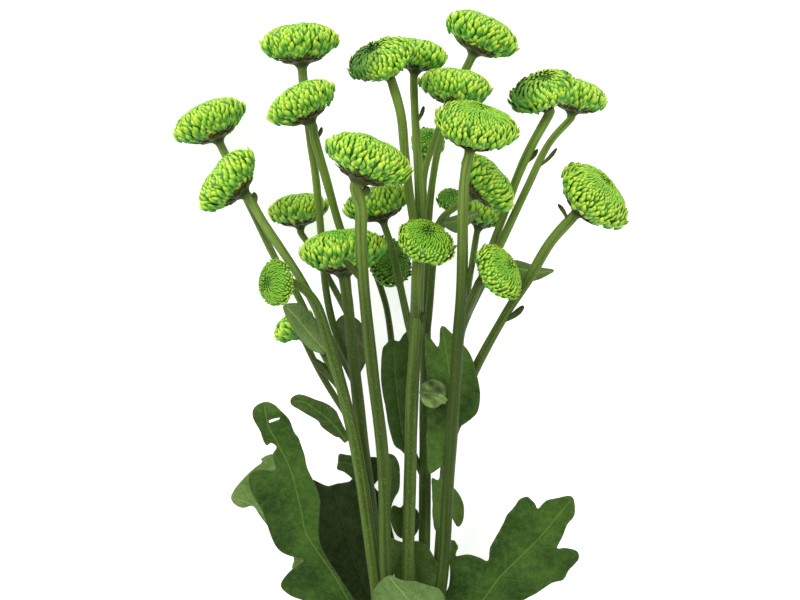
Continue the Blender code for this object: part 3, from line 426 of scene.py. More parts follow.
# Fixed colours that the settings do not offer
FINE_ROOT = (0.150, 0.470, 0.025, 1)
# Painted shade of the florets: the deep green they darken towards
FLORET_PAINTED_SHADE = (0.026, 0.115, 0.014, 1)
LOW_LINE = (0.150, 0.250, 0.042, 1)
HIGH_LINE = (0.290, 0.420, 0.085, 1)
DARK_LINE = (0.022, 0.045, 0.006, 1)
# Painted highlight along the crests of the stem ribs
RIB_PAINTED_HIGHLIGHT = (0.210, 0.330, 0.065, 1)
BROWN_PATCH = (0.050, 0.060, 0.010, 1)
PALE_HAIR = (0.260, 0.360, 0.100, 1)
# Painted shade of the stems, partly their own darker tone
STEM_PAINTED_SHADE_AND_TONE = (0.014, 0.028, 0.004, 1)
CALYX_PATCH = (0.055, 0.072, 0.018, 1)
STEM_SHEEN = (0.70, 0.85, 0.25, 1)
# Painted shade of the leaves, partly their own darker tone
LEAF_PAINTED_SHADE_AND_TONE = (0.006, 0.014, 0.003, 1)
DRY_LEAF = (0.120, 0.105, 0.050, 1)
LEAF_UNDERSIDE = (0.080, 0.160, 0.040, 1)
PALE_UNDERSIDE = (0.110, 0.200, 0.060, 1)
FLOOR_TONES = ((0.86, 0.86, 0.86, 1), (0.88, 0.88, 0.88, 1))
WHITE = (1.0, 1.0, 1.0, 1.0)

# Lights: name, place from the middle of the view, size, and the setting that holds the power
LIGHTS = (
    ("key_light", (-0.75, 0.75, 1.25), 0.9, "key_power"), ("fill_light", (0.9, -0.2, 1.3), 1.2, "fill_power"),
)
SENSOR_WIDTH = 36.0


def length_setting(name, description, default):
    """A length that the user can change."""
    return FloatProperty(name=name, description=description, default=default, unit="LENGTH")


def colour_setting(name, description, default):
    """A colour that the user can pick."""
    return FloatVectorProperty(name=name, description=description, default=(*default, 1.0), size=4,
                               subtype="COLOR", min=0.0, max=1.0)


class BunchHeadSettings(bpy.types.PropertyGroup):
    """How the florets sit on a head, and their colours."""
    crown_spacing: length_setting("Crown spacing", "Distance between florets at the crown", 0.0010)
    rim_spacing: length_setting("Rim spacing", "Distance between florets at the rim", 0.00235)
    crown_length: length_setting("Crown floret length", "Length of the florets at the crown", 0.0021)
    rim_length: length_setting("Rim floret length", "Length of the florets at the rim", 0.0047)
    slimness: FloatProperty(
        name="Slimness", description="Half width of a floret as a share of the spacing", default=0.40)
    unrest: FloatProperty(
        name="Unrest", description="How far florets stray from their place and heading", default=1.0)
    seed: IntProperty(name="Seed", description="Seed of the small differences between florets", default=11)
    root: colour_setting("Root colour", "Colour of a floret's root", (0.085, 0.330, 0.040))
    body: colour_setting("Body colour", "Colour of the deeper florets", (0.270, 0.600, 0.040))
    body_light: colour_setting("Light body colour", "Colour of the lighter florets", (0.470, 0.760, 0.052))
    tip: colour_setting("Tip colour", "Colour of the tips of the deeper florets", (0.480, 0.740, 0.045))
    tip_light: colour_setting("Light tip colour", "Colour of the tips of the lighter florets",
                              (0.800, 0.830, 0.100))
    crown: colour_setting("Crown colour", "Colour of the fine florets of the crown", (0.330, 0.630, 0.030))
    crown_light: colour_setting("Light crown colour", "Colour of the lighter fine florets",
                                (0.510, 0.730, 0.050))


class BunchStemSettings(bpy.types.PropertyGroup):
    """How the stems are drawn, and their colours."""
    steps: IntProperty(name="Steps", description="Sections between two points of a route", default=8)
    trunk_sides: IntProperty(name="Main stem sides", description="Sides of a main stem", default=24)
    stalk_sides: IntProperty(name="Stalk sides", description="Sides of a side stalk", default=18)
    rib: FloatProperty(name="Rib", description="Height of the ribs as a share of the radius", default=0.036)
    seed: IntProperty(name="Seed", description="Seed of the unevenness of the stems", default=5)
    low: colour_setting("Low colour", "Colour of the stems low down", (0.054, 0.100, 0.011))
    high: colour_setting("High colour", "Colour of the stems near the heads", (0.162, 0.258, 0.034))
    calyx: colour_setting("Calyx colour", "Colour of the calyx and bracts", (0.020, 0.036, 0.008))
    calyx_edge: colour_setting("Calyx edge colour", "Colour of the tips of the bracts", (0.085, 0.050, 0.024))
    pith: colour_setting("Pith colour", "Colour of the cut ends", (0.560, 0.620, 0.360))


class BunchLeafSettings(bpy.types.PropertyGroup):
    """How the leaves are drawn, and their colours."""
    grid: FloatProperty(name="Grid", description="Plan distance between points of a blade", default=3.0)
    thickness: length_setting("Thickness", "Thickness of a blade", 0.0006)
    vein_spacing: length_setting("Vein spacing", "Distance between side veins", 0.0095)
    groove: length_setting("Groove", "Depth of the groove over the midrib", 0.0005)
    dark: colour_setting("Dark colour", "Deepest colour of the upper leaf", (0.012, 0.038, 0.004))
    light: colour_setting("Light colour", "Lightest colour of the upper leaf", (0.062, 0.140, 0.016))
    vein: colour_setting("Vein colour", "Colour of the midrib and veins", (0.120, 0.215, 0.040))
    pale_dark: colour_setting("Dark underside", "Deepest colour of the leaves that show their underside",
                              (0.070, 0.150, 0.034))
    pale_light: colour_setting("Light underside", "Lightest colour of the leaves that show their underside",
                               (0.180, 0.300, 0.085))
    pale_vein: colour_setting("Underside veins", "Colour of the midrib on the underside",
                              (0.330, 0.460, 0.120))


class BunchBandSettings(bpy.types.PropertyGroup):
    """The colours of the elastic band."""
    dark: colour_setting("Dark colour", "Deeper colour of the band", (0.40, 0.31, 0.17))
    light: colour_setting("Light colour", "Lighter colour of the band", (0.50, 0.40, 0.25))


class BunchStageSettings(bpy.types.PropertyGroup):
    """Floor, lights and camera."""
    key_power: FloatProperty(
        name="Key light", description="Power of the key light", default=16.0, unit="POWER")
    fill_power: FloatProperty(
        name="Fill light", description="Power of the fill light", default=6.0, unit="POWER")
    sky: FloatProperty(name="Sky", description="Strength of the even light", default=0.70)
    floor_glow: FloatProperty(name="Floor glow", description="Light given out by the floor", default=0.62)


def place(x, y, height):
    """The point in metres that the viewer sees at a plan position, at a height in millimetres."""
    z = height * MM
    spread = PLAN_STEP * (VIEW_HEIGHT - z) / (VIEW_HEIGHT - MIDDLE_HEIGHT)
    return Vector((
        (x - VIEW_CENTRE[0]) * spread + (VIEW_CENTRE[0] - ORIGIN[0]) * PLAN_STEP,
        (VIEW_CENTRE[1] - y) * spread + (ORIGIN[1] - VIEW_CENTRE[1]) * PLAN_STEP,
        z))


def unplace(point):
    """Plan x, plan y and height in millimetres of a point."""
    spread = PLAN_STEP * (VIEW_HEIGHT - point.z) / (VIEW_HEIGHT - MIDDLE_HEIGHT)
    x = (point.x - (VIEW_CENTRE[0] - ORIGIN[0]) * PLAN_STEP) / spread + VIEW_CENTRE[0]
    y = VIEW_CENTRE[1] - (point.y - (ORIGIN[1] - VIEW_CENTRE[1]) * PLAN_STEP) / spread
    return x, y, point.z / MM


def head_axis(head):
    """Centre, direction of the crown and radius of a head."""
    x, y, height, lean, turn, radius = HEADS[head]
    lean = math.radians(lean)
    turn = math.radians(turn)
    axis = Vector((math.sin(lean) * math.cos(turn), math.cos(lean) * math.cos(turn), math.sin(turn)))
    return place(x, y, height), axis, radius * MM


def side_frame(axis):
    """Two directions square to an axis and to each other."""
    first = axis.cross(Vector((0.0, 0.0, 1.0)))
    if first.length < 0.05:
        first = axis.cross(Vector((1.0, 0.0, 0.0)))
    first.normalize()
    return first, axis.cross(first).normalized()


def spline(knots, steps):
    """A smooth curve through knots of any number of values."""
    knots = [np.array(k, dtype=float) for k in knots]
    out = []
    for i in range(len(knots) - 1):
        before = knots[max(i - 1, 0)]
        after = knots[min(i + 2, len(knots) - 1)]
        a = (knots[i + 1] - before) * 0.5
        b = (after - knots[i]) * 0.5
        for s in range(steps):
            t = s / steps
            out.append(knots[i] * (2 * t ** 3 - 3 * t ** 2 + 1) + a * (t ** 3 - 2 * t ** 2 + t)
                       + knots[i + 1] * (3 * t ** 2 - 2 * t ** 3) + b * (t ** 3 - t ** 2))
    out.append(knots[-1])
    return out


def route_of(points, steps):
    """A stem route as points and radii in metres."""
    rows = [(*place(*row[:3]), row[3] * MM) for row in points]
    return [(Vector(row[:3]), float(row[3])) for row in spline(rows, steps)]


def with_seat(head, points):
    """Rows of a route with the two rows added that bring it square up to the calyx of its head."""
    centre, axis, radius = head_axis(head)
    foot = -HEAD_SEAT_RISE * radius + FIT_GAP + CUP_HEIGHT
    rows = list(points)
    for back in (0.0003, -0.0012):
        rows.append((*unplace(centre - axis * (foot + back)), points[-1][3]))
    return rows


def point_on(route, plan_y):
    """The point, radius and heading where a route passes a plan y."""
    rows = [(unplace(point)[1], point, radius) for point, radius in route]
    for (y0, p0, r0), (y1, p1, r1) in zip(rows, rows[1:]):
        if (y0 - plan_y) * (y1 - plan_y) <= 0.0 and y0 != y1:
            t = (y0 - plan_y) / (y0 - y1)
            return p0.lerp(p1, t), r0 + (r1 - r0) * t, (p1 - p0).normalized()
    raise ValueError("the route does not pass that plan y")


def make_routes(steps):
    """Every stem and stalk route, keyed by stem and head."""
    routes = {}
    for stem, (head, points) in TRUNKS.items():
        routes[stem, head] = route_of(with_seat(head, points), steps)
    for stem, head, fork, points in STALKS:
        root = point_on(routes[stem, TRUNKS[stem][0]], fork)[0]
        rows = [(*unplace(root), points[0][3])] + list(points)
        routes[stem, head] = route_of(with_seat(head, rows), steps)
    return routes


def loft(bm, rings, values):
    """Extrude a circle from ring to ring; a layer takes one value, or one for each side, per ring."""
    order = bm.verts.layers.int["order"]
    front = bmesh.ops.create_circle(bm, cap_ends=False, segments=len(rings[0]), radius=MM)["verts"]
    edges = list({edge for vert in front for edge in vert.link_edges})
    for k, vert in enumerate(front):
        vert[order] = k
    every = []
    for i, ring in enumerate(rings):
        if i:
            geom = bmesh.ops.extrude_edge_only(bm, edges=edges)["geom"]
            front = [g for g in geom if isinstance(g, bmesh.types.BMVert)]
            fresh = set(front)
            edges = [g for g in geom if isinstance(g, bmesh.types.BMEdge) and set(g.verts) <= fresh]
        for vert in front:
            k = vert[order]
            vert.co = ring[k]
            for layer, rows in values.items():
                vert[layer] = rows[i][k] if isinstance(rows[i], list) else rows[i]
        every.append(list(front))
    return every


def cap(bm, ring):
    """Close a ring of a loft."""
    return bmesh.ops.contextual_create(bm, geom=ring)["faces"]


def turns_of(sides):
    """The angles of the corners round a ring."""
    return [2.0 * math.pi * k / sides for k in range(sides)]


def circle(centre, first, second, reach, sides, squash=1.0):
    """Points round a centre in the plane of two directions."""
    return [centre + first * (math.cos(a) * reach) + second * (math.sin(a) * reach * squash)
            for a in turns_of(sides)]


def turned(twist, polar):
    """A direction from its turn round the pole and its angle from the pole."""
    return Vector((math.cos(twist) * math.sin(polar), math.sin(twist) * math.sin(polar), math.cos(polar)))


def new_bmesh(labels):
    """An empty bmesh with float layers by name, and the running number round a ring."""
    bm = bmesh.new()
    for label in labels:
        bm.verts.layers.float.new(label)
    bm.verts.layers.int.new("order")
    return bm, {label: bm.verts.layers.float[label] for label in labels}


def finish_piece(name, bm, material, node):
    """Turn a bmesh into a smooth piece that stands for a node of the part, with nothing below the floor."""
    bmesh.ops.recalc_face_normals(bm, faces=bm.faces[:])
    order = bm.verts.layers.int.get("order")
    if order:
        bm.verts.layers.int.remove(order)
    for vert in bm.verts:
        vert.co.z = max(vert.co.z, 0.0)
    mesh = bpy.data.meshes.new(name)
    bm.to_mesh(mesh)
    bm.free()
    mesh.shade_smooth()
    mesh.materials.append(material)
    piece = bpy.data.objects.new(name, mesh)
    bpy.context.scene.collection.objects.link(piece)
    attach(piece, "root")
    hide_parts(node)
    return piece


def patch_group():
    """The shared effect: a mask of soft patches in object space, with a scale for each axis."""
    group = bpy.data.node_groups.new("patches", "ShaderNodeTree")
    for label, kind, default in (("Scale", "NodeSocketVector", (100.0, 100.0, 100.0)),
                                 ("Detail", "NodeSocketFloat", 3.0), ("Low", "NodeSocketFloat", 0.35),
                                 ("High", "NodeSocketFloat", 0.7)):
        group.interface.new_socket(label, in_out="INPUT", socket_type=kind).default_value = default
    group.interface.new_socket("Mask", in_out="OUTPUT", socket_type="NodeSocketFloat")
    given, result, coords, scale, noise, spread = (group.nodes.new(kind) for kind in (
        "NodeGroupInput", "NodeGroupOutput", "ShaderNodeTexCoord", "ShaderNodeVectorMath",
        "ShaderNodeTexNoise", "ShaderNodeMapRange"))
    scale.operation = "MULTIPLY"
    noise.inputs["Scale"].default_value = 1.0
    noise.inputs["Roughness"].default_value = 0.6
    spread.interpolation_type = "SMOOTHSTEP"
    for start, end in (
            (coords.outputs["Object"], scale.inputs[0]), (given.outputs["Scale"], scale.inputs[1]),
            (scale.outputs[0], noise.inputs["Vector"]), (given.outputs["Detail"], noise.inputs["Detail"]),
            (noise.outputs["Fac"], spread.inputs["Value"]), (given.outputs["Low"], spread.inputs["From Min"]),
            (given.outputs["High"], spread.inputs["From Max"]),
            (spread.outputs["Result"], result.inputs["Mask"])):
        group.links.new(start, end)
    return group


class Shading:
    """A short way to write the node tree of a material."""

    def __init__(self, name, roughness, specular):
        self.material = bpy.data.materials.new(name)
        self.material.use_nodes = True
        self.tree = self.material.node_tree
        self.shader = self.tree.nodes["Principled BSDF"]
        self.put(self.shader.inputs, {"Roughness": roughness, "Specular IOR Level": specular})

    def put(self, sockets, values):
        """Set or link sockets by their names or numbers."""
        for key, value in values.items():
            if isinstance(value, bpy.types.NodeSocket):
                self.tree.links.new(value, sockets[key])
            else:
                sockets[key].default_value = value

    def node(self, kind, values):
        """A new node with some of its inputs set or linked."""
        node = self.tree.nodes.new("ShaderNode" + kind)
        self.put(node.inputs, values)
        return node

    def value(self, attribute):
        """A float attribute of the mesh."""
        node = self.node("Attribute", {})
        node.attribute_name = attribute
        return node.outputs["Fac"]

    def math(self, operation, *values):
        """One math step."""
        node = self.node("Math", dict(enumerate(values)))
        node.operation = operation
        return node.outputs[0]

    def rest(self, value):
        """What a value leaves of one."""
        return self.math("SUBTRACT", 1.0, value)

    def ramp(self, value, low, high):
        """Zero at low, one at high, smooth between."""
        node = self.node("MapRange", {"Value": value, "From Min": low, "From Max": high})
        node.interpolation_type = "SMOOTHSTEP"
        return node.outputs["Result"]

    def mix(self, factor, first, second):
        """A colour mix."""
        node = self.tree.nodes.new("ShaderNodeMix")
        node.data_type = "RGBA"
        self.put(node.inputs, {0: factor, 6: first, 7: second})
        return node.outputs[2]

    def over(self, base, mask, share, colour):
        """A share of a colour laid over another where a mask is."""
        return self.mix(self.math("MULTIPLY", mask, share), base, colour)

    def patches(self, scale, low, high, detail=3.0):
        """The shared patches with their own scale and limits."""
        node = self.tree.nodes.new("ShaderNodeGroup")
        node.node_tree = bpy.data.node_groups.get("patches") or patch_group()
        self.put(node.inputs, {"Scale": scale, "Detail": detail, "Low": low, "High": high})
        return node.outputs["Mask"]

    def lines(self, scale, low, high):
        """Lines that run along a stem, from the place round it and the way along it."""
        labels = ("round_x", "round_y", "along")
        spot = self.node("CombineXYZ", {k: self.value(label) for k, label in enumerate(labels)})
        noise = self.node("TexNoise", {"Vector": spot.outputs[0], "Scale": scale, "Detail": 3.0})
        return self.ramp(noise.outputs["Fac"], low, high)

    def along(self, axis, low, high):
        """Where a point lies between two places on an axis of object space."""
        coords = self.node("TexCoord", {})
        split = self.node("SeparateXYZ", {0: coords.outputs["Object"]})
        return self.ramp(split.outputs[axis], low, high)

    def bump(self, height, distance, strength):
        """Link a height to the shader's normal."""
        node = self.node("Bump", {"Strength": strength, "Distance": distance, "Height": height})
        self.put(self.shader.inputs, {"Normal": node.outputs["Normal"]})

    def sheen(self, weight, tint):
        """Fine hairs that catch the light at a glancing view."""
        self.put(self.shader.inputs, {"Sheen Weight": weight, "Sheen Roughness": 0.25, "Sheen Tint": tint})

    def colour(self, value):
        """Link a colour to the shader."""
        self.put(self.shader.inputs, {"Base Color": value})
        return self.material


def floret_material(settings):
    """Green florets with yellow tips, blue-green roots and painted shade; the fine ones of the crown are
    yellow-green.
    """
    s = Shading("floret", 0.5, 0.25)
    tip, reach, vary, shade = (s.value(label) for label in FLORET_VALUES)
    body = s.mix(vary, settings.body, settings.body_light)
    root = s.mix(s.ramp(reach, 0.1, 0.5), FINE_ROOT, settings.root)
    colour = s.mix(s.ramp(tip, 0.25, 0.78), root, body)
    yellow = s.mix(vary, settings.tip, settings.tip_light)
    fine = s.mix(vary, settings.crown, settings.crown_light)
    lit = s.math("MULTIPLY", s.ramp(tip, 0.62, 1.0), s.ramp(vary, -0.6, 0.5))
    lit = s.math("MULTIPLY", lit, s.rest(s.math("MULTIPLY", shade, 0.8)))
    colour = s.mix(lit, colour, s.mix(s.ramp(reach, 0.1, 0.4), fine, yellow))
    # Painted shade: florets darken towards a deep green by their shade value
    return s.colour(s.over(colour, shade, 0.82, FLORET_PAINTED_SHADE))


def stem_material(settings):
    """Olive green stems with fine pale lines and hairs, painted highlights and shade, a brown-green calyx and
    pale cut ends.
    """
    s = Shading("stem", 0.5, 0.12)
    up = s.along(1, 0.050, 0.115)
    base = s.mix(up, settings.low, settings.high)
    base = s.over(base, s.lines(1.5, 0.47, 0.62), 0.48, s.mix(up, LOW_LINE, HIGH_LINE))
    base = s.over(base, s.lines(2.9, 0.50, 0.60), 0.5, DARK_LINE)
    # Painted highlight on the rib crests
    base = s.over(base, s.value("rib"), 0.25, RIB_PAINTED_HIGHLIGHT)
    base = s.over(base, s.patches((150, 40, 150), 0.5, 0.8), 0.4, BROWN_PATCH)
    base = s.over(base, s.patches((1700, 1300, 1700), 0.54, 0.67), 0.45, PALE_HAIR)
    # Painted shade of each stem, partly its own darker tone, weaker towards the heads
    base = s.over(base, s.value("shade"), s.rest(s.math("MULTIPLY", up, 0.7)), STEM_PAINTED_SHADE_AND_TONE)
    calyx_and_neck_shade = s.value("calyx")
    calyx = s.mix(s.patches((700, 700, 700), 0.3, 0.7), settings.calyx, CALYX_PATCH)
    calyx = s.mix(s.ramp(calyx_and_neck_shade, 0.84, 1.0), calyx, settings.calyx_edge)
    # The calyx colour, which also lays the painted shade at the necks
    base = s.mix(s.ramp(calyx_and_neck_shade, 0.0, 0.7), base, calyx)
    base = s.mix(s.value("pith"), base, settings.pith)
    s.sheen(0.12, STEM_SHEEN)
    s.bump(s.lines(4.0, 0.3, 0.7), 0.0003, 0.4)
    return s.colour(base)


def leaf_material(name, dark, light, vein, under):
    """A blade with a pale midrib, faint side veins, fine mottling, painted shade and light, brown edges and a
    paler underside.
    """
    s = Shading(name, 0.55, 0.12)
    off = s.value("off")
    shade = s.value("shade")
    broad = s.patches((55, 55, 55), 0.35, 0.70, 2.0)
    mottle = s.patches((420, 420, 420), 0.35, 0.72, 4.0)
    tone = s.math("ADD", s.math("MULTIPLY", broad, 0.45), s.math("MULTIPLY", mottle, 0.45))
    near = s.math("MULTIPLY", s.rest(s.ramp(off, 1.0, 9.0)), 0.22)
    base = s.mix(s.math("ADD", tone, near), dark, light)
    base = s.over(base, s.patches((2200, 2200, 2200), 0.45, 0.70), 0.30, vein)
    gap = s.math("ABSOLUTE", s.math("SUBTRACT", s.math("FRACT", s.value("phase")), 0.5))
    side = s.math("MULTIPLY", s.ramp(gap, 0.44, 0.497), s.rest(s.ramp(off, 3.0, 12.0)))
    base = s.over(base, side, 0.22, vein)
    base = s.over(base, s.rest(s.ramp(off, 0.10, 0.45)), 0.68, vein)
    # Painted shade where the shade value is above zero, painted light where it is below
    base = s.over(base, shade, 0.85, LEAF_PAINTED_SHADE_AND_TONE)
    base = s.over(base, shade, -0.85, vein)
    base = s.over(base, s.value("wilt"), s.patches((420, 420, 420), 0.30, 0.60), DRY_LEAF)
    base = s.mix(s.value("under"), base, s.mix(mottle, under, light))
    s.bump(s.math("SUBTRACT", s.math("MULTIPLY", mottle, 0.5), side), 0.0005, 0.6)
    return s.colour(base)


def band_material(settings):
    """Tan elastic."""
    s = Shading("band", 0.6, 0.3)
    return s.colour(s.mix(s.patches((300, 300, 300), 0.2, 0.8), settings.dark, settings.light))


def floret_shape(name, sides, stations):
    """One floret that ends at the origin and comes up +Z, hollow towards +Y, as a mesh and its corners."""
    bm, layers = new_bmesh(FLORET_VALUES)
    rings = []
    for share, wide, deep, lift, cup, bend in stations:
        ring = []
        for angle in turns_of(sides):
            angle += math.pi * 0.5
            sink = cup * HOLLOW_SINK if math.sin(angle) > 0.9 else 0.0
            rise = math.sin(angle) * deep * (1.0 - sink) + lift
            ring.append(Vector((math.cos(angle) * wide + bend, rise, share - 1.0)))
        rings.append(ring)
    loops = loft(bm, rings, {layers["tip"]: [row[0] for row in stations]})
    middle = sum((v.co for v in loops[-1]), Vector()) / sides
    bmesh.ops.pointmerge(bm, verts=loops[-1], merge_co=middle)
    cap(bm, loops[0])
    bmesh.ops.recalc_face_normals(bm, faces=bm.faces[:])
    mesh = bpy.data.meshes.new(name)
    bm.to_mesh(mesh)
    bm.free()
    return mesh, np.array([v.co for v in mesh.vertices])


def seat_table(radius, disc, settings):
    """Reach, rise, share of the way, growth and spacing down a head's outline, and the florets so far."""
    curve = np.array(spline(HEAD_OUTLINE, 12))
    steps = np.linalg.norm(np.diff(curve, axis=0), axis=1) * radius
    travel = np.concatenate([[0.0], np.cumsum(steps)])
    share = travel / travel[-1]
    grown = np.clip((share - disc * FINE_PART) / GROWING_PART, 0.0, 1.0) ** 0.8
    spacing = settings.crown_spacing + (settings.rim_spacing - settings.crown_spacing) * grown
    spacing *= 1.0 + UNDER_SPACING * np.clip((share - RIM_SHARE) / 0.2, 0.0, 1.0)
    density = 2.0 * math.pi * curve[:, 0] * radius / (spacing ** 2 * FLORET_AREA)
    count = np.concatenate([[0.0], np.cumsum((density[1:] + density[:-1]) * 0.5 * steps)])
    return (curve[:, 0], curve[:, 1], share, grown, spacing), count


def stamp(bm, shape, corners, spot, values):
    """Add a copy of a small mesh at a place, with its values."""
    placed = corners @ np.array(spot.to_3x3()).T + np.array(spot.translation)
    shape.vertices.foreach_set("co", placed.ravel())
    for label, value in values.items():
        shape.attributes[label].data.foreach_set("value", np.full(len(corners), value, dtype=np.float32))
    bm.from_mesh(shape)


def strayed(rng, spread):
    """A random step, never a far one."""
    return spread * min(1.5, max(-1.5, rng.gauss(0.0, 1.0)))


def build_head(name, material, shapes, settings):
    """A head: a core in painted shade with its florets in a spiral from the crown to the underside."""
    centre, axis, radius = head_axis(name)
    across, up = side_frame(axis)
    number = int(name[-2:])
    disc, coarse, painted_shade_and_tone, left, hollow, crown_plan = HEAD_LOOKS.get(name, HEAD_LOOK)
    rng = random.Random(settings.seed * 100 + number)
    columns, count = seat_table(radius, disc, settings)
    bm, layers = new_bmesh(FLORET_VALUES)
    stand = Matrix.Translation(centre) @ Matrix((across, up, axis)).transposed().to_4x4()
    add_core(bm, radius, hollow)
    bmesh.ops.transform(bm, matrix=stand, verts=bm.verts[:])
    for vert in bm.verts:
        vert[layers["reach"]] = 1.0
        # Painted shade on the core, so that gaps between florets read as shadow
        vert[layers["shade"]] = min(1.0, painted_shade_and_tone + CORE_SHADE)
    crown_step = Vector(crown_plan) * (PLAN_STEP / radius)
    crown_at = Vector((crown_step.dot(across), crown_step.dot(up)))
    to_rim = columns[2] <= RIM_SHARE
    phase = rng.uniform(0.0, 6.28)
    starts = [rng.uniform(0.0, 6.28) for _ in LOBES]
    rows = np.arange(len(count))
    for i in range(int(np.interp(LAST_SHARE, columns[2], count))):
        at = np.interp(i + 0.5, count, rows)
        reach, rise, where, size, step = (np.interp(at, rows, column) for column in columns)
        polar = np.interp(where, HEADING_SHARES, HEADING_ANGLES) + strayed(rng, TILT_STRAY) * settings.unrest
        polar = math.radians(polar)
        angle = phase + i * GOLDEN_ANGLE + rng.uniform(-0.04, 0.04)
        twist = angle + strayed(rng, TURN_STRAY) * settings.unrest
        swell = 1.0 - sum(deep * (1.0 + math.sin(times * angle + start))
                          for (times, deep), start in zip(LOBES, starts))
        swell *= 1.0 + rng.uniform(*(UPPER_SWELL if where < 0.8 else LOWER_SWELL)) * size
        swell *= 1.0 + RIM_FLARE * math.exp(-((where - RIM_SHARE) / RIM_SPREAD) ** 2)
        sunk = hollow * math.exp(-(reach / HOLLOW_WIDTH) ** 2)
        flat = Vector((math.cos(angle), math.sin(angle))) * reach
        if where < RIM_SHARE:
            flat += crown_at * (1.0 - reach ** 2)
            rise = np.interp(flat.length, columns[0][to_rim], columns[1][to_rim]) - sunk
        heading = turned(twist, polar)
        inward = turned(twist, polar - math.pi * 0.5)
        wide = step * coarse * settings.slimness * rng.uniform(*WIDTH_RANGE)
        long = settings.rim_length - settings.crown_length
        long = settings.crown_length + long * size * rng.uniform(*LENGTH_RANGE)
        long = min(long, STUB_LENGTH + reach * radius * 1.2)
        side = inward.cross(heading) * (wide * rng.choice((-1.0, 1.0)))
        spot = Matrix((side, inward * wide, heading * (long * coarse))).transposed().to_4x4()
        spot.translation = Vector((*flat, rise)) * (radius * swell)
        spot = stand @ spot
        if where > BROAD_FROM:
            kind = 3
        elif size < FINE_GROWTH:
            kind = 0
        else:
            kind = 1 if rng.random() < BENT_SHARE else 2
        aside = (centre.x - spot.translation.x) / radius
        # Painted shade: the head's own shade, more on its left side and in a hollow crown
        deep = painted_shade_and_tone + left * min(1.0, max(0.0, aside * 1.7)) + 5.0 * sunk * (where < RIM_SHARE)
        stamp(bm, *shapes[kind], spot, {"reach": size, "vary": rng.random(), "shade": min(1.0, deep)})
    return finish_piece("bloom_%02d" % number, bm, material, name)


def add_core(bm, radius, hollow):
    """The body inside a head, which gets painted shade, spun from its outline and lower under a hollow crown.
    """
    verts = [bm.verts.new((reach * radius, 0.0, min(rise, CORE_TOP - CORE_SINK * hollow) * radius))
             for reach, rise in spline(CORE_OUTLINE, 2)]
    edges = [bm.edges.new(pair) for pair in zip(verts, verts[1:])]
    bmesh.ops.spin(bm, geom=verts + edges, cent=(0, 0, 0), axis=(0, 0, 1), dvec=(0, 0, 0),
                   angle=2.0 * math.pi, steps=24, use_merge=True)
    near = [v for v in bm.verts if math.hypot(v.co.x, v.co.y) < 0.00001]
    bmesh.ops.remove_doubles(bm, verts=near, dist=0.00002)


def add_tube(bm, route, sides, rib, layers, rng, shade, neck, cut_end):
    """A ribbed stem or stalk with painted shade at the neck under its head; a cut end shows its pith."""
    across, _ = side_frame((route[1][0] - route[0][0]).normalized())
    swell = rng.uniform(0.0, 6.28)
    start = rng.uniform(0.0, 50.0)
    turns = turns_of(sides)
    ribs = [math.cos(a * STEM_RIBS) for a in turns]
    rings = []
    travel = [0.0]
    for i, (point, radius) in enumerate(route):
        ahead = (route[min(i + 1, len(route) - 1)][0] - route[max(i - 1, 0)][0]).normalized()
        across = (across - ahead * across.dot(ahead)).normalized()
        up = ahead.cross(across).normalized()
        radius *= 1.0 + 0.02 * math.sin(i * 0.7 + swell)
        ring = circle(point, across, up, radius, sides)
        rings.append([point + (spot - point) * (1.0 + rib * high) for high, spot in zip(ribs, ring)])
        if i:
            travel.append(travel[-1] + (point - route[i - 1][0]).length)
    count = len(rings)
    values = {
        layers["rib"]: [[high * 0.5 + 0.5 for high in ribs]] * count,
        layers["shade"]: [shade] * count,
        layers["round_x"]: [[start + math.cos(a) for a in turns]] * count,
        layers["round_y"]: [[start + math.sin(a) for a in turns]] * count,
        layers["along"]: [start + far * LINE_STRETCH for far in travel],
        # Painted shade at the neck under the head, carried in the calyx layer
        layers["calyx"]: [neck * max(0.0, 1.0 - (travel[-1] - far) / NECK_LENGTH) for far in travel],
    }
    loops = loft(bm, rings, values)
    cap(bm, loops[-1])
    face = cap(bm, loops[0])
    if cut_end:
        bmesh.ops.inset_individual(bm, faces=face, thickness=0.0004, depth=-0.0002)
        for vert in {v for f in face for v in f.verts}:
            vert[layers["pith"]] = 1.0


def add_calyx(bm, head, neck, layers, rng):
    """The calyx: a cup that spreads under the head, edged with broad bracts pressed against the florets."""
    centre, axis, radius = head_axis(head)
    across, up = side_frame(axis)
    top = -HEAD_SEAT_RISE * radius + FIT_GAP
    rows = [(top + CUP_HEIGHT * back, neck * wide) for back, wide in CUP_STATIONS]
    rows.append((top + CUP_HEIGHT * 0.12, CUP_RADIUS_SHARE * radius))
    rows += [(low * radius, reach * radius) for low, reach in CALYX_DISH]
    rings = [circle(centre - axis * low, across, up, reach, CALYX_SIDES) for low, reach in rows]
    loops = loft(bm, rings, {layers["calyx"]: CUP_TONES})
    cap(bm, loops[-1])
    for count, lower, out in BRACT_ROWS:
        half = 2.0 * math.pi * BRACT_REACH * radius / count * BRACT_COVER
        for k in range(count):
            angle = 2.0 * math.pi * (k + rng.uniform(-0.15, 0.15)) / count
            away = across * math.cos(angle) + up * math.sin(angle)
            flat = across * -math.sin(angle) + up * math.cos(angle)
            long = out * rng.uniform(0.90, 1.08)
            rings = []
            for share, wide, _ in BRACT_STATIONS:
                reach = BRACT_FROM + (long - BRACT_FROM) * share
                low = np.interp(reach, UNDERSIDE_REACH, UNDERSIDE_LOW) + lower
                rings.append(circle(centre + (away * reach - axis * low) * radius, flat, axis + away * 0.5,
                                    half * wide, 6, BRACT_HALF_DEPTH / (half * wide)))
            ends = loft(bm, rings, {layers["calyx"]: [tone for _, _, tone in BRACT_STATIONS]})
            cap(bm, ends[0])
            cap(bm, ends[-1])


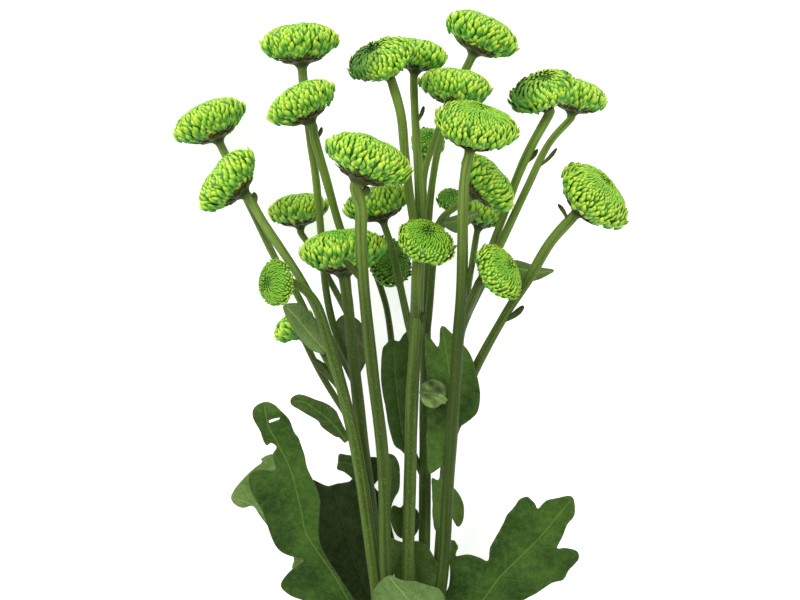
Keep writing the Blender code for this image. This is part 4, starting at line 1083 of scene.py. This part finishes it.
def add_bract(bm, root, tip, width, layers):
    """A small blunt bract that stands away from its stem, bowed to one side."""
    ahead = (tip - root).normalized()
    across = ahead.cross(Vector((0, 0, 1))).normalized()
    up = ahead.cross(across).normalized()
    bow = across * ((tip - root).length * BUD_BOW)
    rings = [circle(root.lerp(tip, share) + bow * math.sin(share * math.pi), across, up,
                    width * MM * wide, 10, 0.55) for share, wide, _ in BUD_STATIONS]
    loops = loft(bm, rings, {layers["calyx"]: [tone for _, _, tone in BUD_STATIONS]})
    cap(bm, loops[0])
    cap(bm, loops[-1])


def build_stem(stem, routes, material, settings):
    """A main stem with its stalks, calyx cups and bracts."""
    rng = random.Random(settings.seed * 10 + int(stem[-1]))
    bm, layers = new_bmesh(STEM_VALUES)
    for (owner, head), route in routes.items():
        if owner != stem:
            continue
        trunk = head == TRUNKS[stem][0]
        sides = settings.trunk_sides if trunk else settings.stalk_sides
        add_tube(bm, route, sides, settings.rib, layers, rng, STEM_SHADES[stem], NECK_PAINTED_SHADE[trunk], trunk)
        add_calyx(bm, head, route[-1][1], layers, rng)
    for owner, head, plan_y, tip, width in BRACTS:
        if owner == stem:
            add_bract(bm, point_on(routes[owner, head], plan_y)[0], place(*tip), width, layers)
    return finish_piece("spray_" + stem[-1], bm, material, stem)


def inside(point, loop):
    """Whether a plan point lies inside a closed loop."""
    x, y = point
    hit = False
    for (x0, y0), (x1, y1) in zip(loop, loop[1:] + loop[:1]):
        if (y0 > y) != (y1 > y) and x < (x1 - x0) * (y - y0) / (y1 - y0) + x0:
            hit = not hit
    return hit


def blade_at(x, y, midrib):
    """Distance from the midrib, its height there, the travel along it, the side and the whole travel."""
    best = None
    along = 0.0
    for (x0, y0, z0), (x1, y1, z1) in zip(midrib, midrib[1:]):
        dx = x1 - x0
        dy = y1 - y0
        span = math.hypot(dx, dy)
        t = min(1.0, max(0.0, ((x - x0) * dx + (y - y0) * dy) / span ** 2))
        off = math.hypot(x - x0 - dx * t, y - y0 - dy * t)
        if best is None or off < best[0]:
            side = 1.0 if (x - x0) * dy - (y - y0) * dx > 0 else -1.0
            best = (off, z0 + (z1 - z0) * t, along + span * t, side)
        along += span
    return (*best, along)


def leaf_loop(leaf, routes):
    """The midrib down to the stem and the closed outline of a leaf."""
    stem, head, plan_y, _, _, midrib, outline = LEAVES[leaf]
    point, radius, heading = point_on(routes[stem, head], plan_y)
    side = place(*midrib[-1]) - point
    side -= heading * side.dot(heading)
    side.normalize()
    end = unplace(point + side * (radius * (1.0 + STEM_RIB) + LEAF_GAP))
    midrib = list(midrib) + [end]
    dx = end[0] - midrib[-2][0]
    dy = end[1] - midrib[-2][1]
    span = math.hypot(dx, dy)
    half = PETIOLE_HALF_WIDTH / PLAN_STEP
    right = (end[0] - dy / span * half, end[1] + dx / span * half)
    left = (end[0] + dy / span * half, end[1] - dx / span * half)
    if math.dist(left, outline[0]) > math.dist(right, outline[0]):
        left, right = right, left
    loop = [tuple(p) for p in spline([left] + list(outline) + [right], 3)]
    return midrib, loop


def blade_points(loop, step):
    """Points of a triangle grid inside a loop."""
    xs = [p[0] for p in loop]
    ys = [p[1] for p in loop]
    rows = np.arange(min(ys), max(ys), step * 0.87)
    for row, y in enumerate(rows):
        for x in np.arange(min(xs) + (step * 0.5 if row % 2 else 0.0), max(xs), step):
            if inside((x, y), loop):
                yield (x, y)


def closed_edges(start, count):
    """Pairs of running numbers round a closed loop."""
    return [(start + k, start + (k + 1) % count) for k in range(count)]


def blade_plan(loop, hole, rib, step):
    """Points and triangles of a flat blade, with its outline, slit and midrib as edges."""
    edges = closed_edges(0, len(loop)) + closed_edges(len(loop), len(hole))
    points = loop + hole + list(blade_points(loop, step))
    kept = [k for k in range(1, len(rib) - 1) if inside(rib[k][:2], loop)]
    first = len(points)
    edges += [(first + n, first + n + 1) for n, (a, b) in enumerate(zip(kept, kept[1:])) if b == a + 1]
    points += [rib[k][:2] for k in kept]
    flat, _, faces, *_ = delaunay_2d_cdt([Vector(p) for p in points], edges, [], 1, 1e-4)
    middles = [sum((flat[i] for i in face), Vector((0.0, 0.0))) / len(face) for face in faces]
    return flat, [face for face, middle in zip(faces, middles)
                  if inside(middle, loop) and not (hole and inside(middle, hole))]


def crease(x, y):
    """Depth of the diagonal creases of a crumpled blade, from -1 to 1."""
    return math.sin(x * 0.36 - y * 0.40 + 2.83) * (0.6 + 0.4 * math.sin(x * 0.5 + y * 0.23))


def ripple(x, y):
    """The slight unevenness of every blade in millimetres."""
    return 0.18 * math.sin(x * 0.23) * math.sin(y * 0.19)


def build_leaf(leaf, routes, material, settings):
    """A thin lobed blade with a grooved midrib and side veins."""
    fold, wave = LEAVES[leaf][3:5]
    painted_shade_and_tone, wilted, crumple = LEAF_LOOKS[leaf]
    midrib, loop = leaf_loop(leaf, routes)
    hole = list(SLIT) if leaf == SLIT_LEAF else []
    rib = [tuple(p) for p in spline(midrib, 4)]
    flat, faces = blade_plan(loop, hole, rib, settings.grid)
    bm, layers = new_bmesh(BLADE_VALUES)
    border = np.array(loop)
    verts = []
    for x, y in flat:
        off, height, travel, side, whole = blade_at(x, y, rib)
        away = off * PLAN_STEP / MM
        dent = crease(x, y) * crumple * min(1.0, away / 1.5)
        height += fold * away + wave * math.sin(travel * 0.16) * min(1.0, away / 5.0)
        height -= settings.groove / MM * math.exp(-(away / GROOVE_HALF_WIDTH) ** 2)
        height += ripple(x, y) * min(1.0, away / 4.0) + dent
        vert = bm.verts.new(place(x, y, max(height, 0.5)))
        vert[layers["off"]] = away
        reach = (whole - travel) * PLAN_STEP - off * PLAN_STEP * 0.9
        vert[layers["phase"]] = reach / settings.vein_spacing + (0.5 if side > 0 else 0.0) + 20.0
        # Painted shade and tone of the leaf, with painted shade in the creases and painted light on their
        # crests
        deep = painted_shade_and_tone * (leaf not in FOLDS or y < np.interp(x, *FOLDS[leaf]))
        vert[layers["shade"]] = min(1.0, max(-1.0, deep - dent * DENT_PAINTED_SHADE_AND_LIGHT))
        edge = np.hypot(border[:, 0] - x, border[:, 1] - y).min()
        vert[layers["wilt"]] = wilted + max(0.0, 1.0 - edge / DRY_EDGE) * (0.35 + wilted * 0.5)
        verts.append(vert)
    for face in faces:
        bm.faces.new([verts[i] for i in face])
    bmesh.ops.delete(bm, geom=[v for v in bm.verts if not v.link_faces], context="VERTS")
    bmesh.ops.recalc_face_normals(bm, faces=bm.faces[:])
    if sum(face.normal.z for face in bm.faces) < 0:
        bmesh.ops.reverse_faces(bm, faces=bm.faces[:])
    upper = set(bm.verts)
    bmesh.ops.solidify(bm, geom=bm.faces[:], thickness=settings.thickness)
    lower = [v for v in bm.verts if v not in upper]
    if sum(v.co.z for v in lower) / len(lower) > sum(v.co.z for v in upper) / len(upper):
        lower = list(upper)
    for vert in lower:
        vert[layers["under"]] = 1.0
    return finish_piece("blade_" + leaf[-2:], bm, material, leaf)


def build_band(material):
    """The elastic band: three turns side by side, resting on the floor."""
    centre = place(*BAND_PLAN, BAND_CENTRE_HEIGHT / MM)
    bm = bmesh.new()
    half = BAND_WIDTH / BAND_TURNS * 0.5
    middle = (BAND_INNER + BAND_OUTER) * 0.5
    deep = (BAND_OUTER - BAND_INNER) * 0.5
    outline = [(middle + deep * (0.1 + 0.9 * math.sin(math.pi * j / BAND_STEPS)),
                -BAND_WIDTH * 0.5 + half * (2 * turn + 1) - math.cos(math.pi * j / BAND_STEPS) * half)
               for turn in range(BAND_TURNS) for j in range(BAND_STEPS + 1)]
    outline += [(BAND_INNER, BAND_WIDTH * 0.5), (BAND_INNER, -BAND_WIDTH * 0.5)]
    verts = [bm.verts.new((reach, along, 0.0)) for reach, along in outline]
    edges = [bm.edges.new((verts[i], verts[(i + 1) % len(verts)])) for i in range(len(verts))]
    bmesh.ops.spin(bm, geom=verts + edges, cent=(0, 0, 0), axis=(0, 1, 0), dvec=(0, 0, 0),
                   angle=2.0 * math.pi, steps=64, use_merge=True)
    bmesh.ops.remove_doubles(bm, verts=bm.verts[:], dist=0.000005)
    bmesh.ops.translate(bm, verts=bm.verts[:], vec=centre)
    return finish_piece("elastic_band", bm, material, "tie_band")


class BUNCH_OT_heads(bpy.types.Operator):
    """Build every flower head"""
    bl_idname = "bunch.heads"
    bl_label = "Build flower heads"

    def execute(self, context):
        material = floret_material(context.scene.bunch_heads)
        shapes = [floret_shape("floret_%d" % k, *FLORETS[k]) for k in range(len(FLORETS))]
        for name in HEADS:
            build_head(name, material, shapes, context.scene.bunch_heads)
        for mesh, _ in shapes:
            bpy.data.meshes.remove(mesh)
        return {"FINISHED"}


class BUNCH_OT_stems(bpy.types.Operator):
    """Build every stem with its stalks and calyx cups"""
    bl_idname = "bunch.stems"
    bl_label = "Build stems"

    def execute(self, context):
        settings = context.scene.bunch_stems
        routes = make_routes(settings.steps)
        material = stem_material(settings)
        for stem in TRUNKS:
            build_stem(stem, routes, material, settings)
        return {"FINISHED"}


class BUNCH_OT_leaves(bpy.types.Operator):
    """Build every leaf"""
    bl_idname = "bunch.leaves"
    bl_label = "Build leaves"

    def execute(self, context):
        settings = context.scene.bunch_leaves
        routes = make_routes(1)
        dark = leaf_material("leaf", settings.dark, settings.light, settings.vein, LEAF_UNDERSIDE)
        pale = leaf_material("leaf_pale", settings.pale_dark, settings.pale_light, settings.pale_vein,
                             PALE_UNDERSIDE)
        for leaf in LEAVES:
            build_leaf(leaf, routes, pale if leaf in PALE_LEAVES else dark, settings)
        return {"FINISHED"}


class BUNCH_OT_band(bpy.types.Operator):
    """Build the elastic band"""
    bl_idname = "bunch.band"
    bl_label = "Build band"

    def execute(self, context):
        build_band(band_material(context.scene.bunch_band))
        return {"FINISHED"}


class BUNCH_OT_stage(bpy.types.Operator):
    """Set up the floor, the lights and the camera"""
    bl_idname = "bunch.stage"
    bl_label = "Set up the stage"

    def execute(self, context):
        settings = context.scene.bunch_stage
        scene = context.scene
        bm = bmesh.new()
        bmesh.ops.create_grid(bm, x_segments=1, y_segments=1, size=6.0)
        bmesh.ops.translate(bm, verts=bm.verts[:], vec=(0.0, 0.0, -0.0001))
        mesh = bpy.data.meshes.new("floor")
        bm.to_mesh(mesh)
        bm.free()
        floor = bpy.data.objects.new("floor", mesh)
        scene.collection.objects.link(floor)
        paint = Shading("floor", 0.9, 0.0)
        paint.put(paint.shader.inputs, {"Emission Color": WHITE, "Emission Strength": settings.floor_glow})
        mesh.materials.append(paint.colour(paint.mix(paint.patches((3, 3, 3), 0.2, 0.8), *FLOOR_TONES)))
        eye = place(*VIEW_CENTRE, 0.0)
        for label, spot, size, power in LIGHTS:
            data = bpy.data.lights.new(label, "AREA")
            data.energy = getattr(settings, power)
            data.size = size
            light = bpy.data.objects.new(label, data)
            light.location = eye + Vector(spot)
            light.rotation_euler = (-Vector(spot)).to_track_quat("-Z", "Y").to_euler()
            scene.collection.objects.link(light)
        world = bpy.data.worlds.new("studio")
        world.use_nodes = True
        background = world.node_tree.nodes["Background"]
        background.inputs["Color"].default_value = WHITE
        background.inputs["Strength"].default_value = settings.sky
        scene.world = world
        scene.view_settings.view_transform = "Standard"
        data = bpy.data.cameras.new("camera")
        data.sensor_width = SENSOR_WIDTH
        data.lens = SENSOR_WIDTH * (VIEW_HEIGHT - MIDDLE_HEIGHT) / (PICTURE_WIDTH * PLAN_STEP)
        data.clip_start = 0.05
        data.clip_end = 50.0
        camera = bpy.data.objects.new("camera", data)
        camera.location = (eye.x, eye.y, VIEW_HEIGHT)
        scene.collection.objects.link(camera)
        scene.camera = camera
        return {"FINISHED"}


class BUNCH_PT_panel(bpy.types.Panel):
    """The settings of the bunch and its builders"""
    bl_idname = "BUNCH_PT_panel"
    bl_label = "Chrysanthemum bunch"
    bl_space_type = "VIEW_3D"
    bl_region_type = "UI"
    bl_category = "Bunch"

    def draw(self, context):
        for group, settings in SETTINGS.items():
            box = self.layout.box()
            for key in settings.__annotations__:
                box.prop(getattr(context.scene, group), key)
        for operator in OPERATORS:
            self.layout.operator(operator.bl_idname)


SETTINGS = {
    "bunch_heads": BunchHeadSettings,
    "bunch_stems": BunchStemSettings,
    "bunch_leaves": BunchLeafSettings,
    "bunch_band": BunchBandSettings,
    "bunch_stage": BunchStageSettings,
}
OPERATORS = (BUNCH_OT_heads, BUNCH_OT_stems, BUNCH_OT_leaves, BUNCH_OT_band, BUNCH_OT_stage)


def register():
    """Add the settings, the builders and the panel."""
    for group, settings in SETTINGS.items():
        bpy.utils.register_class(settings)
        setattr(bpy.types.Scene, group, PointerProperty(type=settings))
    for operator in OPERATORS:
        bpy.utils.register_class(operator)
    bpy.utils.register_class(BUNCH_PT_panel)


def unregister():
    """Take them away again."""
    bpy.utils.unregister_class(BUNCH_PT_panel)
    for operator in reversed(OPERATORS):
        bpy.utils.unregister_class(operator)
    for group, settings in SETTINGS.items():
        delattr(bpy.types.Scene, group)
        bpy.utils.unregister_class(settings)


def main():
    """Build the dressed bunch."""
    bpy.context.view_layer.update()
    register()
    bpy.ops.bunch.heads()
    bpy.ops.bunch.stems()
    bpy.ops.bunch.leaves()
    bpy.ops.bunch.band()
    bpy.ops.bunch.stage()


if __name__ == "__main__":
    main()
